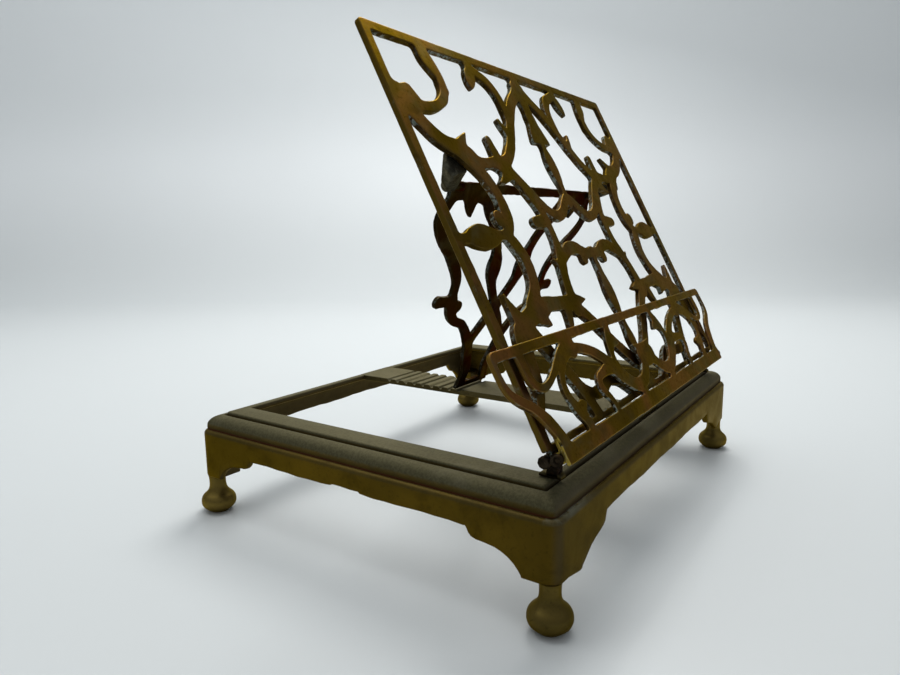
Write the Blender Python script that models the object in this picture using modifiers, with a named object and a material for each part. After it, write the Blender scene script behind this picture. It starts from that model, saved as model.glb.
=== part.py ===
"""Brass book display stand: a moulded base on four turned feet, a pierced plate that
tilts on the base's front edge, a pierced ledge that folds against the plate, and a
pierced prop whose foot steps along a ridged rack.

Lengths are in millimetres and become metres as each mesh is made.  +X is to the
reader's right, -Y is towards the reader, +Z is up, and the feet stand on Z = 0.
"""
import math

import bmesh
import bpy
from mathutils import Matrix, Vector
from mathutils.geometry import delaunay_2d_cdt

MM = 0.001
GAP = 0.3
ROUND = 12

# Base
BASE_HALF_X = 128.7
BASE_HALF_Y = 103.5
BASE_TOP = 53.8
OPENING_HALF_X = 105.7
OPENING_HALF_Y = 89.3
TOP_THICKNESS = 3.1
APRON_BOTTOM = 20.0
APRON_WALL = 3.4
CORNER_RADIUS = 6.5

# Feet
FOOT_X = 123.2
FOOT_Y = 98.2
FOOT_TOP = APRON_BOTTOM - GAP
BOSS_TOP = 31.0
STUD_RADIUS = 2.2

# Rack
RACK_HALF_WIDTH = 14.0
RACK_THICKNESS = 3.2
RACK_LAP = 3.9
RIDGE_COUNT = 8
RIDGE_PITCH = 6.6
FIRST_RIDGE_Y = 65.2
RIDGE_DEPTH = 1.6

# Reading plate
TILT = 62.5
SHEET = 2.4
PLATE_THICKNESS = 3.0
RAIL_WIDTH = 5.0
PLATE_HALF_X = 121.0
PLATE_TOP = 200.5
PLATE_FOOT = (-103.0, 53.7)
PLATE_AXIS = (-93.0, 63.0)

# Ledge
LEDGE_TILT = 60.8
LEDGE_FOOT = (-103.0, 63.0)
LEDGE_TOP = 48.8
LEDGE_AXIS = (-98.2, 64.8)

# Prop
PROP_AXIS = (-25.0, 167.0)
PROP_ANGLE = -69.5
PROP_REACH = 119.7
PROP_HALF_X = 77.6

# Hinge pins, measured along X from the middle
PIN_RADIUS = 1.0
PIN_HOLE = PIN_RADIUS + GAP
PIN_HEAD = (116.7, 120.4)
OUTER_KNUCKLE = (111.6, 116.4)
INNER_KNUCKLE = (106.7, 111.2)

BRASS_DARK = (0.17, 0.13, 0.055)
BRASS_GOLD = (0.30, 0.20, 0.060)
BRASS_OLIVE = (0.20, 0.16, 0.075)
IRON = (0.055, 0.050, 0.045)


# ---------------------------------------------------------------- scene helpers

def clear_scene():
    for old in list(bpy.data.objects):
        bpy.data.objects.remove(old, do_unlink=True)


def make_collection(name):
    made = bpy.data.collections.new(name)
    bpy.context.scene.collection.children.link(made)
    return made


def metal(name, colour, roughness):
    made = bpy.data.materials.new(name)
    made.use_nodes = True
    shader = made.node_tree.nodes["Principled BSDF"]
    shader.inputs["Base Color"].default_value = (*colour, 1.0)
    shader.inputs["Roughness"].default_value = roughness
    shader.inputs["Metallic"].default_value = 1.0
    return made


def to_object(name, bm, collection, parent=None):
    """Scale the mesh to metres and wrap it in an object."""
    bmesh.ops.scale(bm, vec=(MM, MM, MM), verts=bm.verts)
    bmesh.ops.recalc_face_normals(bm, faces=bm.faces)
    mesh = bpy.data.meshes.new(name)
    bm.to_mesh(mesh)
    bm.free()
    made = bpy.data.objects.new(name, mesh)
    collection.objects.link(made)
    made.parent = parent
    return made


def finish(made, colour, roughness=0.42, smooth_angle=35):
    made.data.materials.append(metal(made.name + "_metal", colour, roughness))
    for face in made.data.polygons:
        face.use_smooth = True
    made.data.set_sharp_from_angle(angle=math.radians(smooth_angle))
    return made


def tool(name, bm, parent=None):
    made = to_object(name, bm, cutters, parent)
    made.hide_render = True
    made.display_type = "WIRE"
    return made


def combine(target, other, operation):
    step = target.modifiers.new(operation.lower() + "_" + other.name, "BOOLEAN")
    step.operation = operation
    step.solver = "EXACT"
    step.object = other


def axis_empty(name, place, angle):
    """An empty on a hinge axis; its local Y runs up the sheet and Z out of its front."""
    made = bpy.data.objects.new(name, None)
    parts.objects.link(made)
    made.location = (0, place[0] * MM, place[1] * MM)
    made.rotation_euler = (math.radians(angle), 0, 0)
    return made


# --------------------------------------------------------------- shape helpers

def box(low, high):
    bm = bmesh.new()
    size = [b - a for a, b in zip(low, high)]
    middle = [(a + b) / 2 for a, b in zip(low, high)]
    matrix = Matrix.Translation(middle) @ Matrix.Diagonal((*size, 1))
    bmesh.ops.create_cube(bm, size=1, matrix=matrix)
    return bm


def rod_x(radius, low, high, y, z, segments=ROUND):
    """A cylinder along X between two stations."""
    bm = bmesh.new()
    matrix = Matrix.Translation(((low + high) / 2, y, z)) @ Matrix.Rotation(math.pi / 2, 4, "Y")
    bmesh.ops.create_cone(bm, cap_ends=True, segments=segments, radius1=radius,
                          radius2=radius, depth=high - low, matrix=matrix)
    return bm


def rod_z(radius, x, y, low, high, segments=ROUND):
    bm = bmesh.new()
    matrix = Matrix.Translation((x, y, (low + high) / 2))
    bmesh.ops.create_cone(bm, cap_ends=True, segments=segments, radius1=radius,
                          radius2=radius, depth=high - low, matrix=matrix)
    return bm


def prism(outline, direction, low, high):
    """Extrude a flat outline along X or Y; the outline gives the other two axes."""
    bm = bmesh.new()
    if direction == "X":
        points = [(low, a, b) for a, b in outline]
        step = (high - low, 0, 0)
    else:
        points = [(a, low, b) for a, b in outline]
        step = (0, high - low, 0)
    face = bm.faces.new([bm.verts.new(p) for p in points])
    moved = bmesh.ops.extrude_face_region(bm, geom=[face], use_keep_orig=True)
    new_verts = [g for g in moved["geom"] if isinstance(g, bmesh.types.BMVert)]
    bmesh.ops.translate(bm, vec=step, verts=new_verts)
    return bm


def turned(name, profile, steps, collection, parent=None, along_x=False):
    """Turn a profile of (radius, height) given from its top down to its bottom."""
    bm = bmesh.new()
    verts = [bm.verts.new((r, 0, z)) for r, z in profile]
    for above, below in zip(verts, verts[1:]):
        bm.edges.new((above, below))
    made = to_object(name, bm, collection, parent)
    turn = made.modifiers.new("turn", "SCREW")
    turn.steps = steps
    turn.render_steps = steps
    turn.use_merge_vertices = True
    turn.merge_threshold = 0.00001
    if along_x:
        made.rotation_euler = (0, math.radians(90), 0)
    return made


# ------------------------------------------------- pierced sheets from ribbons

def smooth_run(stations, steps):
    """Catmull-Rom points through the stations, each an (x, y, width) triple."""
    padded = [stations[0], *stations, stations[-1]]
    run = []
    for a, b, c, d in zip(padded, padded[1:], padded[2:], padded[3:]):
        for k in range(steps):
            t = k / steps
            run.append([0.5 * (2 * q + (r - p) * t + (2 * p - 5 * q + 4 * r - s) * t * t
                               + (3 * q - p - 3 * r + s) * t ** 3)
                        for p, q, r, s in zip(a, b, c, d)])
    run.append(list(stations[-1]))
    return run


def anticlockwise(corners):
    """The corners in order around their middle, so that a tight bend can't twist a quad."""
    middle = sum(corners, Vector((0, 0))) / len(corners)
    return sorted(corners, key=lambda p: math.atan2(p.y - middle.y, p.x - middle.x))


def ribbon(stations, steps=2):
    """Quads that follow a centre line whose width changes along the way."""
    run = smooth_run(stations, steps)
    sides = []
    for index, (x, y, width) in enumerate(run):
        before = run[max(index - 1, 0)]
        after = run[min(index + 1, len(run) - 1)]
        along = Vector((after[0] - before[0], after[1] - before[1])).normalized()
        across = Vector((-along.y, along.x)) * max(width, 0.5) / 2
        sides.append((Vector((x, y)) + across, Vector((x, y)) - across))
    return [anticlockwise([*a, *b]) for a, b in zip(sides, sides[1:])]


def disc(x, y, radius, segments=9):
    turns = [2 * math.pi * k / segments for k in range(segments)]
    return [Vector((x + radius * math.cos(t), y + radius * math.sin(t))) for t in turns]


def rectangle(x0, y0, x1, y1):
    return [Vector(p) for p in ((x0, y0), (x1, y0), (x1, y1), (x0, y1))]


def mirrored(outline):
    return [Vector((-p.x, p.y)) for p in reversed(outline)]


def flat_union(outlines):
    """One flat mesh that covers every outline, triangulated and cleaned."""
    points, faces = [], []
    for outline in outlines:
        faces.append(list(range(len(points), len(points) + len(outline))))
        points += outline
    united = delaunay_2d_cdt(points, [], faces, 0, 0.02, True)
    bm = bmesh.new()
    verts = [bm.verts.new((p.x, p.y, 0)) for p in united[0]]
    for face, sources in zip(united[2], united[5]):
        if sources:
            bm.faces.new([verts[i] for i in face])
    loose = [v for v in bm.verts if not v.link_faces]
    bmesh.ops.delete(bm, geom=loose, context="VERTS")
    bmesh.ops.dissolve_limit(bm, angle_limit=0.01, verts=bm.verts, edges=bm.edges)
    bmesh.ops.remove_doubles(bm, verts=bm.verts, dist=0.25)
    bmesh.ops.dissolve_degenerate(bm, dist=0.05, edges=bm.edges)
    bmesh.ops.triangulate(bm, faces=bm.faces)
    return bm


def pinches(bm):
    """Points where the sheet narrows to nothing."""
    return [v.co.xy for v in bm.verts if sum(e.is_boundary for e in v.link_edges) > 2]


def pierced(name, outlines, shift, parent, thickness):
    """Unite flat outlines into one sheet, whose front is at local Z = shift[1]."""
    bm = flat_union(outlines)
    while pinches(bm):
        outlines = outlines + [disc(p.x, p.y, 0.9, 7) for p in pinches(bm)]
        bm.free()
        bm = flat_union(outlines)
    bmesh.ops.translate(bm, vec=(0, -shift[0], shift[1]), verts=bm.verts)
    bmesh.ops.recalc_face_normals(bm, faces=bm.faces)
    if sum(f.normal.z for f in bm.faces) < 0:
        bmesh.ops.reverse_faces(bm, faces=bm.faces)
    sheet = bm.faces[:]
    copy = bmesh.ops.extrude_face_region(bm, geom=sheet, use_keep_orig=True)
    back = [g for g in copy["geom"] if isinstance(g, bmesh.types.BMVert)]
    bmesh.ops.translate(bm, vec=(0, 0, -thickness), verts=back)
    return to_object(name, bm, parts, parent)


# ------------------------------------------------------------------------ base

def rounded_loop(half_x, half_y, radius, z):
    """Corner arcs of a rounded rectangle, anticlockwise, four chords to a corner."""
    loop = []
    for quarter, (sx, sy) in enumerate(((1, 1), (-1, 1), (-1, -1), (1, -1))):
        centre = Vector((sx * (half_x - radius), sy * (half_y - radius)))
        for k in range(5):
            turn = math.pi / 2 * (quarter + k / 4)
            arc = Vector((math.cos(turn), math.sin(turn))) * radius
            loop.append((centre.x + arc.x, centre.y + arc.y, z))
    return loop


def moulding_loops():
    """The frame's section as rounded rectangles, up the outside and down the inside."""
    def inset(depth, radius, z):
        return rounded_loop(BASE_HALF_X - depth, BASE_HALF_Y - depth, radius, z)

    loops = [inset(0.0, CORNER_RADIUS, APRON_BOTTOM), inset(0.0, CORNER_RADIUS, 43.2),
             inset(0.5, 6.2, 44.9), inset(1.7, 5.4, 45.9), inset(2.4, 4.8, 46.0),
             inset(2.5, 1.6, 46.9)]
    for k in range(1, 5):
        turn = math.radians(90 * k / 4)
        loops.append(inset(8.8 - 6.3 * math.cos(turn), 1.4, 46.9 + 5.5 * math.sin(turn)))
    loops += [inset(9.4, 1.2, 51.6), inset(10.1, 1.2, 51.6), inset(10.3, 1.2, 53.3),
              inset(10.9, 1.0, BASE_TOP)]
    inner = (OPENING_HALF_X, OPENING_HALF_Y, 1.0)
    loops.append(rounded_loop(*inner, BASE_TOP))
    loops.append(rounded_loop(*inner, BASE_TOP - TOP_THICKNESS))
    loops += [inset(9.0, 1.0, 50.5), inset(6.4, 1.5, 48.8), inset(4.4, 3.0, 45.0),
              inset(APRON_WALL, 3.2, APRON_BOTTOM)]
    return loops


# From the end of a bracket's foot towards the middle of its side: (distance, height).
SIDE_BRACKET = [(0.0, 15.0), (0.0, 20.9), (1.6, 22.7), (3.4, 24.7), (5.9, 26.6), (8.6, 28.0),
                (11.6, 29.0), (20.0, 29.9), (22.2, 30.6), (23.4, 31.8), (25.0, 34.5)]
FRONT_BRACKET = [(0.0, 15.0), (0.0, 20.2), (4.6, 21.2), (8.6, 23.4), (13.8, 25.2), (21.2, 27.1),
                 (22.9, 28.2), (24.6, 33.3)]
REAR_BRACKET = [(0.0, 15.0), (0.0, 21.2), (2.0, 26.0), (5.0, 29.8), (9.0, 32.4), (12.0, 33.2),
                (13.6, 34.6), (15.0, 38.8)]


def arch_outline(foot_end, bracket, notch=0.0):
    """The space under an apron, from one corner bracket to the other."""
    half = [(foot_end - distance, height) for distance, height in bracket]
    if notch:
        arch = half[-1][1]
        half += [(9.5, arch), (8.5, arch + notch)]
    return [(-a, b) for a, b in half] + [(a, b) for a, b in reversed(half)]


def make_base():
    bm = bmesh.new()
    rings = [[bm.verts.new(p) for p in loop] for loop in moulding_loops()]
    count = len(rings[0])
    for low, high in zip(rings, rings[1:] + rings[:1]):
        for k in range(count):
            n = (k + 1) % count
            bm.faces.new((low[k], low[n], high[n], high[k]))
    base = to_object("base_frame", bm, parts)

    for sx in (-1, 1):
        for sy in (-1, 1):
            where = ("left" if sx < 0 else "right") + ("_front" if sy < 0 else "_rear")
            block = box((sorted((sx * 114.5, sx * 126.0))[0], sorted((sy * 89.6, sy * 100.8))[0],
                         APRON_BOTTOM),
                        (sorted((sx * 114.5, sx * 126.0))[1], sorted((sy * 89.6, sy * 100.8))[1],
                         BOSS_TOP))
            combine(base, tool("boss_" + where, block), "UNION")
            hole = rod_z(STUD_RADIUS + GAP, sx * FOOT_X, sy * FOOT_Y, APRON_BOTTOM - 2, BOSS_TOP - 2)
            combine(base, tool("stud_hole_" + where, hole), "DIFFERENCE")
    side = prism(arch_outline(BASE_HALF_Y - 14.7, SIDE_BRACKET, 0.7), "X", -140, 140)
    combine(base, tool("side_arches", side), "DIFFERENCE")
    front = prism(arch_outline(BASE_HALF_X - 22.5, FRONT_BRACKET), "Y", -140, -88)
    combine(base, tool("front_arch", front), "DIFFERENCE")
    rear = prism(arch_outline(BASE_HALF_X - 15.0, REAR_BRACKET), "Y", 88, 140)
    combine(base, tool("rear_arch", rear), "DIFFERENCE")
    for sy in (-1, 1):
        where = "front" if sy < 0 else "rear"
        ends = sorted((sy * (OPENING_HALF_Y - 2), sy * (OPENING_HALF_Y + RACK_LAP + GAP)))
        lap = box((-RACK_HALF_WIDTH - GAP, ends[0], BASE_TOP - 1.7),
                  (RACK_HALF_WIDTH + GAP, ends[1], BASE_TOP + 3))
        combine(base, tool("rack_lap_" + where, lap), "DIFFERENCE")
        screw_y = sy * (OPENING_HALF_Y + 2.0)
        hole = rod_z(1.3, 0, screw_y, BASE_TOP - 6, BASE_TOP + 1)
        combine(base, tool("rack_screw_hole_" + where, hole), "DIFFERENCE")
    for sx in (-1, 1):
        hole = rod_z(1.6, sx * LUG_X, LUG_SCREW_Y, BASE_TOP - 6, BASE_TOP + 1)
        combine(base, tool("lug_screw_hole" + ("_l" if sx < 0 else "_r"), hole), "DIFFERENCE")
    return finish(base, BRASS_OLIVE, 0.5, 30)


def make_feet():
    """A turned foot at each corner, screwed up into the base by its own stud."""
    stud = BOSS_TOP - 2.4
    shape = [(0.0, stud), (STUD_RADIUS, stud), (STUD_RADIUS, FOOT_TOP), (4.6, FOOT_TOP),
             (4.3, 18.0), (4.3, 14.5), (4.6, 12.8), (5.4, 11.2), (6.8, 9.7), (8.2, 8.2), (9.0, 6.4),
             (9.0, 4.8), (8.3, 3.0), (7.0, 1.5), (5.8, 0.6), (5.2, 0.0), (0.0, 0.0)]
    for sx in (-1, 1):
        for sy in (-1, 1):
            where = ("front" if sy < 0 else "rear") + ("_left" if sx < 0 else "_right")
            foot = turned("foot_" + where, shape, 18, parts)
            foot.location = (sx * FOOT_X * MM, sy * FOOT_Y * MM, 0)
            finish(foot, BRASS_GOLD, 0.4)


def make_rack():
    """The ridged bar, half-lapped into the top of the front and rear rails."""
    top = BASE_TOP
    end = OPENING_HALF_Y - GAP
    lap_end = OPENING_HALF_Y + RACK_LAP
    outline = [(-lap_end, top - 1.4), (-end, top - 1.4), (-end, top - RACK_THICKNESS),
               (end, top - RACK_THICKNESS), (end, top - 1.4), (lap_end, top - 1.4),
               (lap_end, top), (FIRST_RIDGE_Y + 4.8, top)]
    for k in range(RIDGE_COUNT):
        y = FIRST_RIDGE_Y - k * RIDGE_PITCH
        outline += [(y + 3.9, top - RIDGE_DEPTH), (y + 2.1, top - RIDGE_DEPTH),
                    (y + 1.3, top), (y - 1.3, top)]
    last = FIRST_RIDGE_Y - RIDGE_COUNT * RIDGE_PITCH
    outline += [(last + 3.9, top - RIDGE_DEPTH), (last + 2.4, top - RIDGE_DEPTH),
                (last + 1.6, top), (-lap_end, top)]
    rack = to_object("rack_bar", prism(outline, "X", -RACK_HALF_WIDTH, RACK_HALF_WIDTH), parts)
    for sy in (-1, 1):
        where = "front" if sy < 0 else "rear"
        y = sy * (OPENING_HALF_Y + 2.0)
        hole = rod_z(1.3, 0, y, top - 3, top - 0.5)
        combine(rack, tool("rack_blind_hole_" + where, hole), "DIFFERENCE")
        shape = [(0.0, top - 0.8), (1.0, top - 0.8), (1.0, top - 3.6), (1.9, top - 3.6),
                 (1.9, top - 4.4), (1.2, top - 5.1), (0.0, top - 5.1)]
        screw = turned("rack_screw_" + where, shape, 12, parts)
        screw.location = (0, y * MM, 0)
        finish(screw, IRON, 0.5)
    return finish(rack, BRASS_OLIVE, 0.5, 25)


# -------------------------------------------------------------- hinges and pins

LUG_X = 109.0
LUG_SCREW_Y = -89.6


def make_hinge_lugs():
    """An upright lug on each front corner of the base, with the plate's pin in its head."""
    y, z = PLATE_AXIS
    floor = BASE_TOP + GAP
    outline = [(-86.4, floor), (-86.4, floor + 2.0), (-89.4, floor + 3.0), (y + 2.4, z - 0.9)]
    for k in range(7):
        turn = math.radians(-15 + 205 * k / 6)
        outline.append((y + 2.6 * math.cos(turn), z + 2.6 * math.sin(turn)))
    outline += [(y - 1.8, z - 1.9), (y - 1.9, floor + 3.6), (-96.4, floor + 2.0), (-96.4, floor)]
    low, high = INNER_KNUCKLE
    for sx in (-1, 1):
        where = "left" if sx < 0 else "right"
        ends = sorted((sx * low, sx * high))
        lug = to_object("hinge_lug_" + where, prism(outline, "X", *ends), parts)
        bore = rod_x(PIN_HOLE, ends[0] - 1, ends[1] + 1, y, z)
        combine(lug, tool("lug_bore_" + where, bore), "DIFFERENCE")
        blind = rod_z(1.3, sx * LUG_X, LUG_SCREW_Y, floor - 1, floor + 1.9)
        combine(lug, tool("lug_tap_" + where, blind), "DIFFERENCE")
        finish(lug, BRASS_DARK, 0.5)
        top = floor + 1.5
        shape = [(0.0, top), (1.0, top), (1.0, floor - 4.0), (2.6, floor - 4.0),
                 (2.6, floor - 4.9), (1.6, floor - 5.7), (0.0, floor - 5.7)]
        screw = turned("lug_screw_" + where, shape, 12, parts)
        screw.location = (sx * LUG_X * MM, LUG_SCREW_Y * MM, 0)
        finish(screw, IRON, 0.5)


def pin_profile(length):
    """A round-headed pin from its head down its shank."""
    head = PIN_HEAD[1] - PIN_HEAD[0]
    return [(0.0, 0.0), (1.5, -0.15), (2.3, -0.4), (2.6, -0.9), (2.6, -1.5), (1.8, -1.8),
            (1.8, -head), (PIN_RADIUS, -head), (PIN_RADIUS, -length), (0.0, -length)]


def make_hinge_pins():
    length = PIN_HEAD[1] - INNER_KNUCKLE[0]
    for label, (y, z) in (("plate", PLATE_AXIS), ("ledge", LEDGE_AXIS)):
        for sx in (-1, 1):
            where = "left" if sx < 0 else "right"
            pin = turned(label + "_hinge_pin_" + where, pin_profile(length), ROUND, parts)
            pin.rotation_euler = (0, math.radians(90 * sx), 0)
            pin.location = (sx * PIN_HEAD[1] * MM, y * MM, z * MM)
            finish(pin, IRON, 0.45)


# -------------------------------------------------------------- reading plate

def sheet_frame(foot, axis, tilt):
    """The hinge axis in a tilted sheet's own terms: height up it, and depth before it."""
    turn = math.radians(tilt)
    dy, dz = axis[0] - foot[0], axis[1] - foot[1]
    return (dy * math.cos(turn) + dz * math.sin(turn), -dy * math.sin(turn) + dz * math.cos(turn))


# Left half of the plate's scrollwork: (x, height, width) along each stem.
PLATE_STEMS = {
    "corner_scroll": [(-83.5, 196, 8), (-82, 190, 9.6), (-80, 186, 8.6), (-78, 181, 6), (-78.8, 175, 5.8),
                      (-82, 170, 5.6), (-88, 166, 5), (-95, 163.7, 5), (-103, 163.2, 6),
                      (-110, 164, 9), (-117, 164, 12)],
    "corner_bulge": [(-78.6, 178, 5), (-77.6, 174.6, 4.6)],
    "upper_stem": [(-112, 161, 10), (-107, 155, 8.5), (-101.5, 149.8, 8.5), (-95, 146.3, 8.5),
                   (-88, 144.5, 9.5), (-81, 142, 9), (-76, 139.3, 6.5), (-70, 138.8, 5.5),
                   (-64, 139.5, 6), (-57, 139, 9), (-52, 139, 9)],
    "upper_barb": [(-85.5, 145.6, 8), (-81, 150, 3.8), (-77.4, 153.2, 1.0)],
    "outer_stem": [(-88, 143, 8), (-82, 138, 8), (-76.5, 132, 8), (-73, 125, 7.5), (-72, 118, 8),
                   (-73.5, 111, 9), (-77, 105.5, 7), (-78.6, 102.8, 7), (-76, 98, 8.5), (-73.5, 92, 8),
                   (-73.5, 86, 7.5), (-76, 79, 7.5), (-81, 73, 9), (-85, 69, 11)],
    "outer_leaf": [(-118, 102.5, 4.6), (-111, 102.6, 5.4), (-105, 103, 9.6), (-98, 103.3, 11.6),
                   (-91, 103, 8), (-85.3, 103.3, 4.5), (-78, 103.5, 6)],
    "upper_finger": [(-57, 139, 9), (-57.8, 146, 6.5), (-58.3, 151.6, 4.8)],
    "junction_barb": [(-53.5, 135.6, 9), (-59, 131.6, 4.4), (-64.5, 129.4, 1.0)],
    "arch_rise": [(-54, 139, 8), (-47, 143, 6.5), (-40, 149, 6.8), (-34, 156, 7), (-28, 164, 7),
                  (-22.5, 171, 7.5), (-16, 177.5, 7), (-9, 183, 7), (-3, 187, 9), (2, 189, 10)],
    "arch_thorn": [(-35, 157.6, 6), (-38, 161.4, 3.6), (-39.4, 164.4, 2.6)],
    "hanging_bud": [(-45.6, 197, 6.4), (-46.4, 191.6, 6.4), (-48.4, 187.4, 8), (-50.4, 183.8, 5.8),
                    (-51.6, 180.8, 1.6)],
    "bud_arch": [(-45, 192.5, 6), (-39, 190.5, 6), (-33, 187.5, 6.5), (-29, 183, 6.5), (-27, 177, 6.5),
                 (-27, 168, 7)],
    "wave": [(-52, 137, 7), (-47, 132.5, 7), (-41, 126.5, 7), (-35, 120.5, 6.5), (-28.5, 115.5, 6),
             (-21, 113, 6), (-14, 114.5, 6), (-8, 119, 6), (-3, 122.5, 6), (1, 123, 6)],
    "inner_stem": [(-43, 126, 7), (-38.5, 119, 7), (-36.3, 111, 6.5), (-36, 103, 6), (-37, 96, 7),
                   (-40, 89, 8), (-43.5, 81, 7), (-45.6, 73, 8), (-47, 66, 10)],
    "inner_bud": [(-36.6, 110, 7), (-43, 109.8, 6.6), (-48.6, 109.5, 5.2)],
    "inner_barb": [(-40.6, 86.2, 6.4), (-44.4, 88.4, 3), (-47.2, 90, 0.8)],
    "inner_leaf": [(-45.5, 69, 7.4), (-39, 68.6, 4.6), (-32.8, 68.2, 0.8)],
    "lower_arch": [(-38, 89.4, 6), (-31, 93, 7), (-24, 95.3, 7), (-16, 94.7, 7), (-10, 92, 6.5),
                   (-4, 91.5, 5.5), (1, 92.5, 5)],
    "lower_lobe": [(-10.6, 92, 6.4), (-12.6, 88.8, 6.4)],
    "lower_mass": [(-104, 58, 10), (-98, 63, 10), (-91, 66, 9), (-84, 68, 10.4), (-77, 69, 9.4),
                   (-71, 70, 7.5), (-63, 69.5, 6.5), (-56, 68.8, 7), (-48, 68, 8)],
    "lower_thorn": [(-99, 60, 12), (-100.5, 67, 8), (-102.6, 73.5, 4), (-103.6, 77.6, 1.2)],
    "lower_barb": [(-83, 65.6, 8), (-79, 63.6, 5), (-75.8, 60.6, 1.0)],
    "lower_finger": [(-54.6, 67, 7), (-57, 61, 5), (-59, 57, 3.5), (-60, 53, 1.6)],
    "descender": [(-46, 66, 7), (-40, 61.5, 7), (-35, 57, 7), (-29, 51, 7), (-22, 44, 6.5),
                  (-14, 37, 6.5), (-6, 31, 6.5), (1, 28, 7)],
    "foot_leaf": [(-103, 60, 11), (-105.6, 52, 10), (-106.6, 44.6, 9), (-108, 38, 7),
                  (-112.6, 31, 5), (-118, 27, 5)],
    "foot_outer": [(-95, 62, 7), (-88.6, 52.6, 7), (-82, 43, 7), (-76, 33.6, 7), (-71.6, 24.4, 7),
                   (-69, 16, 8)],
    "foot_inner": [(-75, 32, 6), (-66, 27, 5.6), (-56, 26.6, 6), (-46, 29, 6), (-36, 27, 6),
                   (-27, 21, 6), (-20, 16, 7)],
}
PLATE_BUDS = [(-80.2, 111, 4.2), (-47.6, 109.5, 2.7)]
RAIL_LEAF = [(-118, 173.6), (-112, 171.8), (-107.6, 173.4), (-105, 172.6), (-103.4, 170), (-101.3, 166.8),
             (-103, 160), (-108, 157), (-113, 157.5), (-118, 155)]
BELL = [(4.2, 173), (5.2, 168), (7.4, 162.6), (9.4, 157.6), (9.4, 155.6), (-9.4, 155.6), (-9.4, 157.6),
        (-7.4, 162.6), (-5.2, 168), (-4.2, 173)]
PLATE_CENTRE = [
    [(0, 197, 8), (0, 189, 8), (0, 185.6, 12), (0, 178, 8), (0, 171, 9)],
    [(0, 158, 5), (0, 152, 5), (0, 147, 8.5), (0, 142, 10), (0, 136, 8),
     (0, 130, 4.5), (0, 120, 5)],
    [(0, 91, 4.5), (0, 86, 4.5), (0, 79, 5.5), (0, 73, 8.5), (0, 68, 10), (0, 62, 8),
     (0, 57, 5), (0, 50, 4.5), (0, 42, 8), (0, 33, 6), (0, 24, 7), (0, 15.8, 10)],
]


def make_plate():
    up, out = sheet_frame(PLATE_FOOT, PLATE_AXIS, TILT)
    axis = axis_empty("plate_axis", PLATE_AXIS, TILT)
    outlines = []
    for stations in PLATE_STEMS.values():
        outlines += ribbon(stations)
    outlines += [disc(*bud) for bud in PLATE_BUDS]
    outlines.append([Vector(p) for p in reversed(RAIL_LEAF)])
    outlines += [mirrored(o) for o in outlines]
    outlines.append([Vector(p) for p in reversed(BELL)])
    for stations in PLATE_CENTRE:
        outlines += ribbon(stations)
    edge = PLATE_HALF_X
    outlines += [rectangle(-edge + 2, PLATE_TOP - RAIL_WIDTH, edge - 2, PLATE_TOP),
                 rectangle(-edge, 18.2, -edge + RAIL_WIDTH, PLATE_TOP - 2),
                 rectangle(edge - RAIL_WIDTH, 18.2, edge, PLATE_TOP - 2),
                 rectangle(-edge + 5, 15.3, edge - 5, 18.2)]
    for sx in (-1, 1):
        outlines.append(disc(sx * (edge - 3), 18.3, 3.0, 12))
        corner = rectangle(-edge, PLATE_TOP - 6, -edge + 6, PLATE_TOP)
        corner[3] = Vector((-edge + 2, PLATE_TOP))
        corner.insert(4, Vector((-edge, PLATE_TOP - 2)))
        outlines.append(corner if sx < 0 else mirrored(corner))
    plate = pierced("reading_plate", outlines, (up, -out), axis, PLATE_THICKNESS)

    ledge_up, ledge_out = sheet_frame(PLATE_FOOT, LEDGE_AXIS, TILT)
    ly, lz = ledge_up - up, ledge_out - out
    for sx in (-1, 1):
        where = "left" if sx < 0 else "right"
        rear = sorted((sx * OUTER_KNUCKLE[0], sx * OUTER_KNUCKLE[1]))
        front = sorted((sx * INNER_KNUCKLE[0], sx * INNER_KNUCKLE[1]))
        rear_neck = box((rear[0], 1.2, -0.4), (rear[1], 5.1, -out - 1.3))
        combine(plate, tool("rear_neck_" + where, rear_neck, axis), "UNION")
        knuckle = rod_x(2.6, *rear, 0, 0, 14)
        combine(plate, tool("rear_knuckle_" + where, knuckle, axis), "UNION")
        front_neck = box((front[0], ly, -out - 1.7), (front[1], 5.0, -out - 0.05))
        combine(plate, tool("front_neck_" + where, front_neck, axis), "UNION")
        knuckle = rod_x(2.0, *front, ly, lz, 14)
        combine(plate, tool("front_knuckle_" + where, knuckle, axis), "UNION")
        bore = rod_x(PIN_HOLE, rear[0] - 1, rear[1] + 1, 0, 0)
        combine(plate, tool("rear_bore_" + where, bore, axis), "DIFFERENCE")
        bore = rod_x(PIN_HOLE, front[0] - 1, front[1] + 1, ly, lz)
        combine(plate, tool("front_bore_" + where, bore, axis), "DIFFERENCE")
    finish(plate, BRASS_GOLD)
    return axis


# ----------------------------------------------------------------------- ledge

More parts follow.
